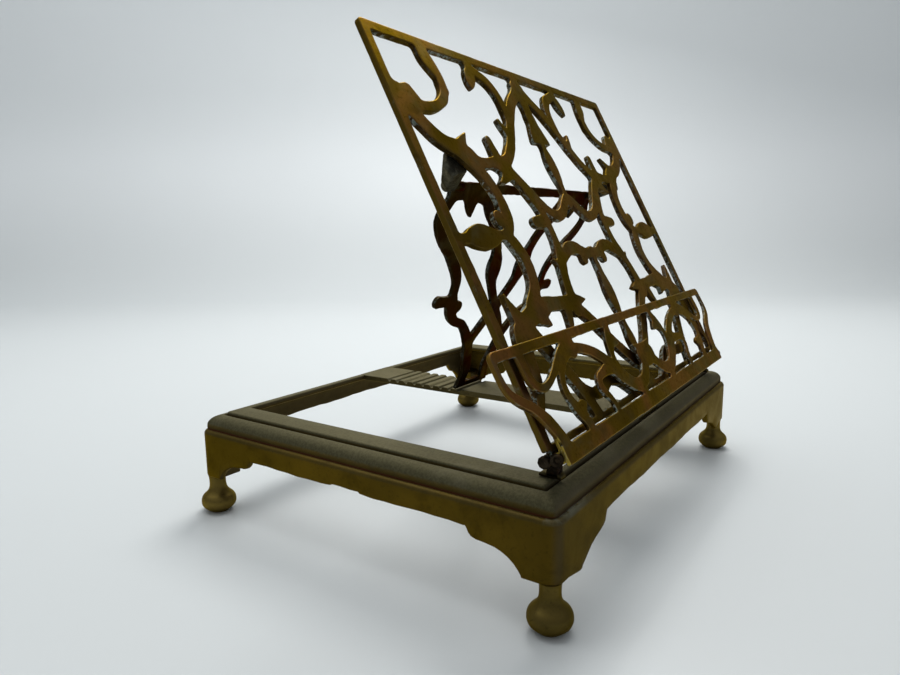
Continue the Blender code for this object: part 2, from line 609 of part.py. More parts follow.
LEDGE_STEMS = {
    "ear": [(-134.6, 46.4, 4), (-135, 42, 3.4), (-134.6, 37, 3.4), (-133, 32.6, 4), (-130, 29.6, 4.5),
            (-126.6, 27.2, 4.6), (-123, 24.8, 4.8), (-119.6, 21.6, 5.4), (-116.8, 17.8, 6),
            (-114.4, 13.6, 6.2), (-112.8, 10, 6.5), (-112, 7, 7), (-112, 4, 8)],
    "rail_loop": [(-116.3, 46.4, 5), (-116.5, 38, 5), (-115.6, 33.6, 5), (-113.2, 30.8, 4.2),
                  (-109.6, 29.7, 3.6), (-104.9, 30.4, 3.6), (-100.1, 32.3, 3.8), (-94.4, 35.2, 4.4),
                  (-88.7, 38.3, 5), (-83, 40.7, 5.5), (-76, 43, 7)],
    "arch": [(-87.6, 5, 4.6), (-88.8, 11, 6), (-92, 16.4, 6.4), (-94.4, 21, 4.6), (-94.9, 26, 4.2),
             (-93.2, 30.4, 4), (-89.6, 34, 4.2), (-84.9, 36.8, 4.4), (-79, 39, 4.6), (-72.6, 39.8, 4.8),
             (-66, 38.8, 5), (-60, 36.8, 5.4), (-54.5, 34.2, 6), (-49.5, 31, 6.4), (-44.6, 26.4, 8.4),
             (-40, 21.8, 8.8), (-35, 17.4, 7.4), (-29.5, 13.8, 6.4), (-24, 11, 6), (-21, 6, 6)],
    "crest": [(-75, 47, 9), (-75, 40, 9)],
    "arch_bud": [(-90.6, 15, 6.6), (-87.4, 17, 5.4), (-84.2, 17.4, 2)],
    "small_scroll": [(-58, 5, 4), (-59.2, 12.6, 3.6), (-62.4, 17, 4.2), (-63.8, 20.6, 4.4),
                     (-62.4, 23.8, 4.2), (-58, 25, 4.4), (-52.5, 25.6, 5.6), (-47, 26, 7)],
    "cup": [(-31, 46.4, 5), (-32, 42, 5.8), (-34, 38, 7.6), (-36.8, 34.6, 6), (-38.6, 31, 4.4),
            (-39, 27, 5), (-37.4, 22, 6), (-33.5, 16.8, 6), (-28, 13.6, 6.2), (-22, 12.6, 6.8),
            (-16, 13.6, 6.6), (-11, 16.6, 6.6), (-7, 20, 7), (-3, 22.8, 9), (1, 24, 11)],
    "cup_tip": [(-33.6, 37.6, 7), (-30, 36, 5), (-26.8, 34.8, 1.6)],
    "boss": [(-6, 24.4, 9.6), (1, 24.2, 12.6)],
    "boss_tip": [(-4, 27.6, 6), (-10.4, 30.7, 1.4)],
}


def make_ledge():
    up, out = sheet_frame(LEDGE_FOOT, LEDGE_AXIS, LEDGE_TILT)
    axis = axis_empty("ledge_axis", LEDGE_AXIS, LEDGE_TILT)
    outlines = []
    for stations in LEDGE_STEMS.values():
        outlines += ribbon(stations)
    outlines += [disc(-132.6, LEDGE_TOP - 3.6, 3.6, 14)]
    outlines += [mirrored(o) for o in outlines]
    outlines += [rectangle(-132.6, LEDGE_TOP - 4.5, 132.6, LEDGE_TOP),
                 rectangle(-116.3, 0, 116.3, 7.5)]
    ledge = pierced("book_ledge", outlines, (up, -out), axis, SHEET)
    for sx in (-1, 1):
        where = "left" if sx < 0 else "right"
        outer = sorted((sx * OUTER_KNUCKLE[0], sx * (OUTER_KNUCKLE[1] - 0.1)))
        inner = sorted((sx * (INNER_KNUCKLE[0] - GAP), sx * (OUTER_KNUCKLE[0] - 0.1)))
        cheek = box((outer[0], -1.9, 0), (outer[1], 2.4, -out - 1))
        combine(ledge, tool("cheek_" + where, cheek, axis), "UNION")
        knuckle = rod_x(2.6, *outer, 0, 0, 14)
        combine(ledge, tool("ledge_knuckle_" + where, knuckle, axis), "UNION")
        recess = rod_x(2.35, *inner, 0, 0, 14)
        combine(ledge, tool("recess_" + where, recess, axis), "DIFFERENCE")
        bore = rod_x(PIN_HOLE, outer[0] - 0.05, outer[1] + 1, 0, 0)
        combine(ledge, tool("ledge_bore_" + where, bore, axis), "DIFFERENCE")
    return finish(ledge, BRASS_GOLD)


# ------------------------------------------------------------------------ prop

# Left half of the prop: (x, distance below its axis, width) along each stem.
PROP_STEMS = {
    "outer": [(-72.4, 0, 7), (-76, 6.8, 6), (-79.4, 13, 6), (-79.6, 17.6, 6), (-74, 24.6, 6.5),
              (-64, 32.3, 7), (-55, 41, 7), (-50, 48.6, 6.5), (-49, 56.3, 6), (-48, 62, 9),
              (-46, 67.8, 7), (-40, 72.6, 5.5), (-32, 75.5, 5), (-26, 80.3, 6), (-21, 86, 7),
              (-18, 89, 8), (-17, 92.8, 8.5), (-14, 100.4, 8), (-11, 108, 7.5), (-12, 114.9, 7.5),
              (-13, 119.7, 8)],
    "shoulder": [(-75, 2.6, 7), (-69, 3.2, 6), (-62, 2.6, 7), (-54, 3, 8), (-47, 3.6, 9)],
    "outer_knob": [(-49.6, 60, 6), (-55.6, 59.6, 5.6), (-61.4, 59.4, 6.4)],
    "inner_knob": [(-46, 64, 6), (-41.4, 63.8, 6.4)],
    "pendant": [(-59, 3.4, 11), (-57.5, 9.6, 6), (-56, 14.2, 1.2)],
    "diagonal": [(-44, 3.4, 9), (-38, 10.7, 8), (-30, 17.9, 7), (-22.4, 26.6, 6), (-18, 35.2, 8),
                 (-16, 43, 13), (-13, 52.4, 7), (-6, 62, 6), (0, 69.7, 7), (7, 76.4, 6),
                 (13, 83.2, 5.5), (17.4, 88.4, 7)],
}


def make_prop():
    axis = axis_empty("prop_axis", PROP_AXIS, PROP_ANGLE)
    outlines = []
    for stations in PROP_STEMS.values():
        outlines += ribbon(stations)
    outlines += [mirrored(o) for o in outlines]
    outlines = [[Vector((p.x, min(p.y, PROP_REACH))) for p in o] for o in outlines]
    outlines += [rectangle(-PROP_HALF_X + 1, -2.3, PROP_HALF_X - 1, 2.3),
                 rectangle(-15.5, PROP_REACH - 3.4, 15.5, PROP_REACH)]
    prop = pierced("easel_prop", outlines, (0, SHEET / 2), axis, SHEET)
    for sx in (-1, 1):
        where = "left" if sx < 0 else "right"
        boss = sorted((sx * 70.0, sx * PROP_HALF_X))
        combine(prop, tool("prop_boss_" + where, rod_x(2.5, *boss, 0, 0, 14), axis), "UNION")
        bore = sorted((sx * 71.0, sx * (PROP_HALF_X + 8)))
        combine(prop, tool("prop_bore_" + where, rod_x(1.2, *bore, 0, 0), axis), "DIFFERENCE")
    return finish(prop, BRASS_DARK, 0.5)


def make_prop_lugs(plate_axis):
    """Rough cast lugs behind the plate, each with a pin that carries the prop."""
    up, out = sheet_frame(PLATE_FOOT, PLATE_AXIS, TILT)
    pivot_up, pivot_out = sheet_frame(PLATE_FOOT, PROP_AXIS, TILT)
    py, pz = pivot_up - up, pivot_out - out
    back = -out - PLATE_THICKNESS - GAP
    ear = (PROP_HALF_X + 0.6, PROP_HALF_X + 5.4)
    for sx in (-1, 1):
        where = "left" if sx < 0 else "right"
        bm = bmesh.new()
        pad = [(81, 134), (95.5, 132.6), (98, 139), (93, 145.6), (83, 144)]
        for x, u in pad:
            bm.verts.new((sx * x, u - up, back))
            bm.verts.new((sx * x, u - up, back - 2.6))
        for x in ear:
            for k in range(8):
                turn = math.radians(-80 - 200 * k / 7)
                bm.verts.new((sx * x, py + 3.1 * math.cos(turn), pz + 3.1 * math.sin(turn)))
        hull = bmesh.ops.convex_hull(bm, input=bm.verts)
        spare = {g for g in hull["geom_interior"] + hull["geom_unused"]
                 if isinstance(g, bmesh.types.BMVert)}
        bmesh.ops.delete(bm, geom=list(spare), context="VERTS")
        lug = to_object("prop_lug_" + where, bm, parts, plate_axis)
        ends = sorted((sx * (ear[0] - 1), sx * (ear[1] + 8)))
        combine(lug, tool("prop_lug_bore_" + where, rod_x(1.2, *ends, py, pz), plate_axis),
                "DIFFERENCE")
        ends = sorted((sx * ear[1], sx * (ear[1] + 12)))
        combine(lug, tool("prop_lug_face_" + where, rod_x(2.3, *ends, py, pz), plate_axis),
                "DIFFERENCE")
        finish(lug, (0.20, 0.19, 0.16), 0.55)
        shape = [(0.0, 0.0), (1.2, -0.1), (1.9, -0.6), (1.9, -1.4), (0.9, -1.4), (0.9, -12.4),
                 (0.0, -12.4)]
        pin = turned("prop_pin_" + where, shape, ROUND, parts, plate_axis)
        pin.rotation_euler = (0, math.radians(90 * sx), 0)
        pin.location = (sx * (ear[1] + 1.4 + GAP) * MM, py * MM, pz * MM)
        finish(pin, IRON, 0.5)


clear_scene()
parts = make_collection("book_display_stand")
cutters = make_collection("cutters")
make_base()
make_feet()
make_rack()
make_hinge_lugs()
make_hinge_pins()
hinge = make_plate()
make_ledge()
make_prop()
make_prop_lugs(hinge)
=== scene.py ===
"""Looks of the brass book stand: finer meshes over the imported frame, aged-brass materials,
a pale studio and the camera.  Lengths in the tables are millimetres."""
import math

import bmesh
import bpy
import numpy as np
from mathutils import Matrix, Vector, noise
from mathutils.geometry import delaunay_2d_cdt


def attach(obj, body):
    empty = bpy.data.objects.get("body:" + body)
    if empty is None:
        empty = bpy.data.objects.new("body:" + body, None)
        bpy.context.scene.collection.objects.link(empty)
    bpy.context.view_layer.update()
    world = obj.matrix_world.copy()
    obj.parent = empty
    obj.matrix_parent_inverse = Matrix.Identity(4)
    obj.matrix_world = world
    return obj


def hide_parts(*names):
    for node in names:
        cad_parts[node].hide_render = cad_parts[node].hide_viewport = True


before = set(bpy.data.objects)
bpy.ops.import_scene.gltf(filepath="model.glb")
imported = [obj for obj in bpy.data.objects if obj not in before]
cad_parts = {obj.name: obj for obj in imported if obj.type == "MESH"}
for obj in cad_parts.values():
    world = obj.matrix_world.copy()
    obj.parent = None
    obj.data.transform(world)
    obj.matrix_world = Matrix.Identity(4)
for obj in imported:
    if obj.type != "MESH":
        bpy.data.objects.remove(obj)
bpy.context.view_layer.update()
MM = 0.001

# Sheets: foot of the front plane (y, z), tilt in degrees, thickness
PLATE = ((-103.0, 53.7), 62.5, 3.0)
LEDGE = ((-103.0, 63.0), 60.8, 2.4)
PROP = ((-25.0, 167.0), -69.5, 2.4)
PLATE_AXIS = (-93.0, 63.0)
LEDGE_AXIS = (-98.2, 64.8)
PROP_REACH = 119.7
PLATE_HALF_X, PLATE_TOP = 121.0, 200.5
LEDGE_TOP, LEDGE_HALF_X, LEDGE_FOOT_X = 48.8, 136.2, 116.3
PROP_HALF_X = 77.6
RAIL = 5.0
OUTER_KNUCKLE = (111.6, 116.4)
INNER_KNUCKLE = (106.7, 111.2)
PLATE_LOW = 15.3                   # the plate's lower edge, up its own plane
LEDGE_RAIL, LEDGE_FOOT = 4.5, 7.5  # widths of the ledge's upper and lower rails
PROP_EDGE_X, PROP_TOE_X, PROP_LOW = 83, 15.5, -2.35
HINGE_BORE, PROP_BORE = 1.25, 1.1
PIN_NEAR, PIN_FAR = 106.8, 120.4   # ends of a hinge pin, its head outermost
GAP = 0.3                          # between pieces that touch

PLATE_STEMS = {
    "corner_scroll": [(-83.5, 196, 8), (-82, 190, 9.6), (-80, 186, 8.6), (-78, 181, 6), (-78.8, 175, 5.8),
        (-82, 170, 5.6), (-88, 166, 5), (-95, 163.7, 5), (-103, 163.2, 6),
        (-110, 164, 9), (-117, 164, 12)],
    "corner_bulge": [(-78.6, 178, 5), (-77.6, 174.6, 4.6)],
    "upper_stem": [(-112, 161, 10), (-107, 155, 8.5), (-101.5, 149.8, 8.5), (-95, 146.3, 8.5),
        (-88, 144.5, 9.5), (-81, 142, 9), (-76, 139.3, 6.5), (-70, 138.8, 5.5),
        (-64, 139.5, 6), (-57, 139, 9), (-52, 139, 9)],
    "upper_barb": [(-85.5, 145.6, 8), (-81, 150, 3.8), (-77.4, 153.2, 1.0)],
    "outer_stem": [(-88, 143, 8), (-82, 138, 8), (-76.5, 132, 8), (-73, 125, 7.5), (-72, 118, 8),
        (-73.5, 111, 9), (-77, 105.5, 7), (-78.6, 102.8, 7), (-76, 98, 8.5), (-73.5, 92, 8),
        (-73.5, 86, 7.5), (-76, 79, 7.5), (-81, 73, 9), (-85, 69, 11)],
    "outer_leaf": [(-118, 102.5, 4.6), (-111, 102.6, 5.4), (-105, 103, 9.6), (-98, 103.3, 11.6),
        (-91, 103, 8), (-85.3, 103.3, 4.5), (-78, 103.5, 6)],
    "upper_finger": [(-57, 139, 9), (-57.8, 146, 6.5), (-58.3, 151.6, 4.8)],
    "junction_barb": [(-53.5, 135.6, 9), (-59, 131.6, 4.4), (-64.5, 129.4, 1.0)],
    "arch_rise": [(-54, 139, 8), (-47, 143, 6.5), (-40, 149, 6.8), (-34, 156, 7), (-28, 164, 7),
        (-22.5, 171, 7.5), (-16, 177.5, 7), (-9, 183, 7), (-3, 187, 9), (2, 189, 10)],
    "arch_thorn": [(-35, 157.6, 6), (-38, 161.4, 3.6), (-39.4, 164.4, 2.6)],
    "hanging_bud": [(-45.6, 197, 6.4), (-46.4, 191.6, 6.4), (-48.4, 187.4, 8), (-50.4, 183.8, 5.8),
        (-51.6, 180.8, 1.6)],
    "bud_arch": [(-45, 192.5, 6), (-39, 190.5, 6), (-33, 187.5, 6.5), (-29, 183, 6.5), (-27, 177, 6.5),
        (-27, 168, 7)],
    "wave": [(-52, 137, 7), (-47, 132.5, 7), (-41, 126.5, 7), (-35, 120.5, 6.5), (-28.5, 115.5, 6),
        (-21, 113, 6), (-14, 114.5, 6), (-8, 119, 6), (-3, 122.5, 6), (1, 123, 6)],
    "inner_stem": [(-43, 126, 7), (-38.5, 119, 7), (-36.3, 111, 6.5), (-36, 103, 6), (-37, 96, 7),
        (-40, 89, 8), (-43.5, 81, 7), (-45.6, 73, 8), (-47, 66, 10)],
    "inner_bud": [(-36.6, 110, 7), (-43, 109.8, 6.6), (-48.6, 109.5, 5.2)],
    "inner_barb": [(-40.6, 86.2, 6.4), (-44.4, 88.4, 3), (-47.2, 90, 0.8)],
    "inner_leaf": [(-45.5, 69, 7.4), (-39, 68.6, 4.6), (-32.8, 68.2, 0.8)],
    "lower_arch": [(-38, 89.4, 6), (-31, 93, 7), (-24, 95.3, 7), (-16, 94.7, 7), (-10, 92, 6.5),
        (-4, 91.5, 5.5), (1, 92.5, 5)],
    "lower_lobe": [(-10.6, 92, 6.4), (-12.6, 88.8, 6.4)],
    "lower_mass": [(-104, 58, 10), (-98, 63, 10), (-91, 66, 9), (-84, 68, 10.4), (-77, 69, 9.4),
        (-71, 70, 7.5), (-63, 69.5, 6.5), (-56, 68.8, 7), (-48, 68, 8)],
    "lower_thorn": [(-99, 60, 12), (-100.5, 67, 8), (-102.6, 73.5, 4), (-103.6, 77.6, 1.2)],
    "lower_barb": [(-83, 65.6, 8), (-79, 63.6, 5), (-75.8, 60.6, 1.0)],
    "lower_finger": [(-54.6, 67, 7), (-57, 61, 5), (-59, 57, 3.5), (-60, 53, 1.6)],
    "descender": [(-46, 66, 7), (-40, 61.5, 7), (-35, 57, 7), (-29, 51, 7), (-22, 44, 6.5),
        (-14, 37, 6.5), (-6, 31, 6.5), (1, 28, 7)],
    "foot_leaf": [(-103, 60, 11), (-105.6, 52, 10), (-106.6, 44.6, 9), (-108, 38, 7),
        (-112.6, 31, 5), (-118, 27, 5)],
    "foot_outer": [(-95, 62, 7), (-88.6, 52.6, 7), (-82, 43, 7), (-76, 33.6, 7), (-71.6, 24.4, 7),
        (-69, 16, 8)],
    "foot_inner": [(-75, 32, 6), (-66, 27, 5.6), (-56, 26.6, 6), (-46, 29, 6), (-36, 27, 6),
        (-27, 21, 6), (-20, 16, 7)],
}

PLATE_BUDS = [(-80.2, 111, 4.2), (-47.6, 109.5, 2.7)]

RAIL_LEAF = [(-118, 173.6), (-112, 171.8), (-107.6, 173.4), (-105, 172.6), (-103.4, 170), (-101.3, 166.8),
        (-103, 160), (-108, 157), (-113, 157.5), (-118, 155)]

BELL = [(4.2, 173), (5.2, 168), (7.4, 162.6), (9.4, 157.6), (9.4, 155.6), (-9.4, 155.6), (-9.4, 157.6),
        (-7.4, 162.6), (-5.2, 168), (-4.2, 173)]

PLATE_CENTRE = [
    [(0, 197, 8), (0, 189, 8), (0, 185.6, 12), (0, 178, 8), (0, 171, 9)],
    [(0, 158, 5), (0, 152, 5), (0, 147, 8.5), (0, 142, 10), (0, 136, 8),
     (0, 130, 4.5), (0, 120, 5)],
    [(0, 91, 4.5), (0, 86, 4.5), (0, 79, 5.5), (0, 73, 8.5), (0, 68, 10), (0, 62, 8),
     (0, 57, 5), (0, 50, 4.5), (0, 42, 8), (0, 33, 6), (0, 24, 7), (0, 15.8, 10)],
]

LEDGE_STEMS = {
    "ear": [(-134.6, 46.4, 4), (-135, 42, 3.4), (-134.6, 37, 3.4), (-133, 32.6, 4), (-130, 29.6, 4.5),
        (-126.6, 27.2, 4.6), (-123, 24.8, 4.8), (-119.6, 21.6, 5.4), (-116.8, 17.8, 6),
        (-114.4, 13.6, 6.2), (-112.8, 10, 6.5), (-112, 7, 7), (-112, 4, 8)],
    "rail_loop": [(-116.3, 46.4, 5), (-116.5, 38, 5), (-115.6, 33.6, 5), (-113.2, 30.8, 4.2),
        (-109.6, 29.7, 3.6), (-104.9, 30.4, 3.6), (-100.1, 32.3, 3.8), (-94.4, 35.2, 4.4),
        (-88.7, 38.3, 5), (-83, 40.7, 5.5), (-76, 43, 7)],
    "arch": [(-87.6, 5, 4.6), (-88.8, 11, 6), (-92, 16.4, 6.4), (-94.4, 21, 4.6), (-94.9, 26, 4.2),
        (-93.2, 30.4, 4), (-89.6, 34, 4.2), (-84.9, 36.8, 4.4), (-79, 39, 4.6), (-72.6, 39.8, 4.8),
        (-66, 38.8, 5), (-60, 36.8, 5.4), (-54.5, 34.2, 6), (-49.5, 31, 6.4), (-44.6, 26.4, 8.4),
        (-40, 21.8, 8.8), (-35, 17.4, 7.4), (-29.5, 13.8, 6.4), (-24, 11, 6), (-21, 6, 6)],
    "crest": [(-75, 47, 9), (-75, 40, 9)],
    "arch_bud": [(-90.6, 15, 6.6), (-87.4, 17, 5.4), (-84.2, 17.4, 2)],
    "small_scroll": [(-58, 5, 4), (-59.2, 12.6, 3.6), (-62.4, 17, 4.2), (-63.8, 20.6, 4.4),
        (-62.4, 23.8, 4.2), (-58, 25, 4.4), (-52.5, 25.6, 5.6), (-47, 26, 7)],
    "cup": [(-31, 46.4, 5), (-32, 42, 5.8), (-34, 38, 7.6), (-36.8, 34.6, 6), (-38.6, 31, 4.4),
        (-39, 27, 5), (-37.4, 22, 6), (-33.5, 16.8, 6), (-28, 13.6, 6.2), (-22, 12.6, 6.8),
        (-16, 13.6, 6.6), (-11, 16.6, 6.6), (-7, 20, 7), (-3, 22.8, 9), (1, 24, 11)],
    "cup_tip": [(-33.6, 37.6, 7), (-30, 36, 5), (-26.8, 34.8, 1.6)],
    "boss": [(-6, 24.4, 9.6), (1, 24.2, 12.6)],
    "boss_tip": [(-4, 27.6, 6), (-10.4, 30.7, 1.4)],
}

PROP_STEMS = {
    "outer": [(-72.4, 0, 7), (-76, 6.8, 6), (-79.4, 13, 6), (-79.6, 17.6, 6), (-74, 24.6, 6.5),
        (-64, 32.3, 7), (-55, 41, 7), (-50, 48.6, 6.5), (-49, 56.3, 6), (-48, 62, 9),
        (-46, 67.8, 7), (-40, 72.6, 5.5), (-32, 75.5, 5), (-26, 80.3, 6), (-21, 86, 7),
        (-18, 89, 8), (-17, 92.8, 8.5), (-14, 100.4, 8), (-11, 108, 7.5), (-12, 114.9, 7.5),
        (-13, 119.7, 8)],
    "shoulder": [(-75, 2.6, 7), (-69, 3.2, 6), (-62, 2.6, 7), (-54, 3, 8), (-47, 3.6, 9)],
    "outer_knob": [(-49.6, 60, 6), (-55.6, 59.6, 5.6), (-61.4, 59.4, 6.4)],
    "inner_knob": [(-46, 64, 6), (-41.4, 63.8, 6.4)],
    "pendant": [(-59, 3.4, 11), (-57.5, 9.6, 6), (-56, 14.2, 1.2)],
    "diagonal": [(-44, 3.4, 9), (-38, 10.7, 8), (-30, 17.9, 7), (-22.4, 26.6, 6), (-18, 35.2, 8),
        (-16, 43, 13), (-13, 52.4, 7), (-6, 62, 6), (0, 69.7, 7), (7, 76.4, 6),
        (13, 83.2, 5.5), (17.4, 88.4, 7)],
}

# ------------------------------------------------------------ distance fields

GRID = 0.5
CAP = 5.0          # distances are cut off here
MIDDLE = 12.0
GOLDEN_ANGLE = 2.399963


def rounded_box(X, Y, x0, y0, x1, y1, r):
    """Distance to a rectangle with corners rounded by r."""
    qx = np.abs(X - (x0 + x1) / 2) - (x1 - x0) / 2 + r
    qy = np.abs(Y - (y0 + y1) / 2) - (y1 - y0) / 2 + r
    return np.hypot(np.maximum(qx, 0), np.maximum(qy, 0)) + np.minimum(np.maximum(qx, qy), 0) - r


class Field:
    """Signed distance to a flat outline on a grid, negative inside the metal."""

    def __init__(self, half_x, low, high):
        self.x = np.arange(-half_x - 3, half_x + 3 + GRID, GRID)
        self.y = np.arange(low - 3, high + 3 + GRID, GRID)
        self.d = np.full((len(self.x), len(self.y)), CAP)

    def window(self, x0, x1, y0, y1):
        reach = CAP + 0.5
        i0 = max(0, int((x0 - reach - self.x[0]) / GRID))
        i1 = min(len(self.x), int((x1 + reach - self.x[0]) / GRID) + 2)
        j0 = max(0, int((y0 - reach - self.y[0]) / GRID))
        j1 = min(len(self.y), int((y1 + reach - self.y[0]) / GRID) + 2)
        return slice(i0, i1), slice(j0, j1)

    def grid(self, x0, x1, y0, y1):
        """The window round a box, and the coordinates of its points."""
        si, sj = self.window(x0, x1, y0, y1)
        return si, sj, *np.meshgrid(self.x[si], self.y[sj], indexing="ij")

    def blend(self, si, sj, new, fillet):
        old = self.d[si, sj]
        if fillet <= 0:
            self.d[si, sj] = np.minimum(old, new)
            return
        h = np.clip(fillet - np.abs(old - new), 0, None) / fillet
        # metal is added only where the two distances are within the fillet of each other
        self.d[si, sj] = np.minimum(old, new) - h * h * fillet / 4

    def stem(self, stations, fillet):
        run = smooth_run(stations, 5)
        xs, ys, ws = zip(*run)
        margin = max(ws) / 2
        si, sj, X, Y = self.grid(min(xs) - margin, max(xs) + margin, min(ys) - margin, max(ys) + margin)
        best = np.full(X.shape, CAP)
        for (ax, ay, aw), (bx, by, bw) in zip(run, run[1:]):
            dx, dy = bx - ax, by - ay
            length = dx * dx + dy * dy
            if length < 1e-9:
                continue
            r = max(aw, bw) / 2
            ti, tj = self.window(min(ax, bx) - r, max(ax, bx) + r, min(ay, by) - r, max(ay, by) + r)
            ki = slice(max(0, ti.start - si.start), ti.stop - si.start)
            kj = slice(max(0, tj.start - sj.start), tj.stop - sj.start)
            px, py = X[ki, kj] - ax, Y[ki, kj] - ay
            t = np.clip((px * dx + py * dy) / length, 0, 1)
            d = np.hypot(px - t * dx, py - t * dy) - (aw + (bw - aw) * t) / 2
            best[ki, kj] = np.minimum(best[ki, kj], d)
        self.blend(si, sj, best, fillet)

    def disc(self, x, y, r, fillet):
        si, sj, X, Y = self.grid(x - r, x + r, y - r, y + r)
        self.blend(si, sj, np.minimum(np.hypot(X - x, Y - y) - r, CAP), fillet)

    def polygon(self, corners, fillet):
        xs, ys = zip(*corners)
        si, sj, X, Y = self.grid(min(xs), max(xs), min(ys), max(ys))
        nearest = np.full(X.shape, CAP)
        inside = np.zeros(X.shape, bool)
        for (ax, ay), (bx, by) in zip(corners, corners[1:] + corners[:1]):
            dx, dy = bx - ax, by - ay
            t = np.clip(((X - ax) * dx + (Y - ay) * dy) / (dx * dx + dy * dy), 0, 1)
            nearest = np.minimum(nearest, np.hypot(X - ax - t * dx, Y - ay - t * dy))
            crosses = (ay > Y) != (by > Y)
            inside ^= crosses & (X < ax + dx * (Y - ay) / (dy if abs(dy) > 1e-6 else 1e-6))
        self.blend(si, sj, np.where(inside, -nearest, nearest), fillet)

    def mirror(self, fillet):
        """Add the mirror image, with a fillet only between strokes that meet near the middle."""
        other = self.d[::-1]
        h = np.clip(fillet - np.abs(self.d - other), 0, None) / fillet
        middle = np.abs(self.x)[:, None] < MIDDLE
        joined = np.minimum(self.d, other)
        self.d = np.where(middle & (np.abs(self.d - other) > 0.3), joined - h * h * fillet / 4, joined)

    def bar(self, x0, y0, x1, y1, r, fillet):
        """A straight bar with corners rounded by r."""
        si, sj, X, Y = self.grid(x0, x1, y0, y1)
        self.blend(si, sj, np.minimum(rounded_box(X, Y, x0, y0, x1, y1, r), CAP), fillet)

    def keep(self, x0, y0, x1, y1, r):
        """Trim to a rectangle with rounded corners."""
        X, Y = np.meshgrid(self.x, self.y, indexing="ij")
        self.d = np.maximum(self.d, rounded_box(X, Y, x0, y0, x1, y1, r))

    def roughen(self, amount, seed):
        """Hand-sawn outlines wander a little."""
        X, Y = np.meshgrid(self.x, self.y, indexing="ij")
        wobble = np.zeros_like(X)
        for k in range(14):
            turn = GOLDEN_ANGLE * (k + seed)
            size = 2 * math.pi / (4.0 + 1.7 * k)
            wobble += np.sin(size * (X * math.cos(turn) + Y * math.sin(turn)) + 1.7 * k * seed) / 3.2
        self.d = self.d + amount * wobble

    def sample(self, points):
        """Distance and its outward gradient at points, by bilinear lookup."""
        u = np.clip((points[:, 0] - self.x[0]) / GRID, 0, len(self.x) - 2.001)
        v = np.clip((points[:, 1] - self.y[0]) / GRID, 0, len(self.y) - 2.001)
        i, j = u.astype(int), v.astype(int)
        a, b = u - i, v - j

        def look(grid):
            return ((1 - a) * (1 - b) * grid[i, j] + a * (1 - b) * grid[i + 1, j]
                    + (1 - a) * b * grid[i, j + 1] + a * b * grid[i + 1, j + 1])

        if not hasattr(self, "grad"):
            self.grad = np.gradient(self.d, GRID)
        g = np.stack([look(grid) for grid in self.grad], 1)
        return look(self.d), g / np.maximum(np.linalg.norm(g, axis=1), 1e-6)[:, None]


def smooth_run(stations, steps):
    """Catmull-Rom points through the stations, each an (x, y, width) triple."""
    padded = [stations[0], *stations, stations[-1]]
    run = []
    for a, b, c, d in zip(padded, padded[1:], padded[2:], padded[3:]):
        for k in range(steps):
            t = k / steps
            run.append([0.5 * (2 * q + (r - p) * t + (2 * p - 5 * q + 4 * r - s) * t * t
                               + (3 * q - p - 3 * r + s) * t ** 3)
                        for p, q, r, s in zip(a, b, c, d)])
    run.append(list(stations[-1]))
    return run


# Which edge of a grid square an outline enters by and leaves by, for each set of inside corners
CROSSINGS = {1: [(0, 3)], 2: [(1, 0)], 3: [(1, 3)], 4: [(2, 1)], 5: [(0, 3), (2, 1)], 6: [(2, 0)],
             7: [(2, 3)], 8: [(3, 2)], 9: [(0, 2)], 10: [(1, 0), (3, 2)], 11: [(1, 2)],
             12: [(3, 1)], 13: [(0, 1)], 14: [(3, 0)]}


def outlines(field, level, spacing):
    """Closed loops where the distance equals level, evenly re-spaced."""
    d = field.d
    inside = (d < level).astype(int)
    code = inside[:-1, :-1] + 2 * inside[1:, :-1] + 4 * inside[1:, 1:] + 8 * inside[:-1, 1:]
    rows = len(field.y)
    onward = {}
    for i, j in np.argwhere((code > 0) & (code < 15)):
        edges = ((i * rows + j) * 2, ((i + 1) * rows + j) * 2 + 1,
                 (i * rows + j + 1) * 2, (i * rows + j) * 2 + 1)
        for start, end in CROSSINGS[int(code[i, j])]:
            onward[edges[start]] = edges[end]

    def place(edge):
        cell, upright = divmod(int(edge), 2)
        i, j = divmod(cell, rows)
        if upright:
            t = (level - d[i, j]) / (d[i, j + 1] - d[i, j])
            return field.x[i], field.y[j] + t * GRID
        t = (level - d[i, j]) / (d[i + 1, j] - d[i, j])
        return field.x[i] + t * GRID, field.y[j]

    loops = []
    while onward:
        first = next(iter(onward))
        chain = [first]
        edge = onward.pop(first)
        while edge != first:
            chain.append(edge)
            edge = onward.pop(edge)
        points = np.array([place(e) for e in chain])
        closed = np.vstack([points, points[:1]])
        steps = np.hypot(*np.diff(closed, axis=0).T)
        run = np.concatenate([[0], np.cumsum(steps)])
        if run[-1] < 2.0:
            continue
        count = max(6, int(run[-1] / spacing))
        at = np.linspace(0, run[-1], count, endpoint=False)
        loops.append(np.stack([np.interp(at, run, closed[:, 0]), np.interp(at, run, closed[:, 1])], 1))
    return loops


def add_object(name, data):
    made = bpy.data.objects.new(name, data)
    bpy.context.scene.collection.objects.link(made)
    return made


def shade_smooth(mesh):
    for face in mesh.polygons:
        face.use_smooth = True


def sheet_axes(tilt):
    """The directions up a sheet and out of its front, for its tilt in degrees."""
    turn = math.radians(tilt)
    return (0, math.cos(turn), math.sin(turn)), (0, -math.sin(turn), math.cos(turn))


def placer(tilt, axis):
    """Points given by how far they are up a sheet, out of it and across it from an axis."""
    up, out = map(Vector, sheet_axes(tilt))
    return lambda u, w, x: Vector((0, *axis)) + up * u + out * w + Vector((x, 0, 0))


def offsets(tilt, axis, point):
    """How far up a sheet and out of it a point lies from an axis."""
    step = Vector((0, *point)) - Vector((0, *axis))
    return [step.dot(Vector(way)) for way in sheet_axes(tilt)]


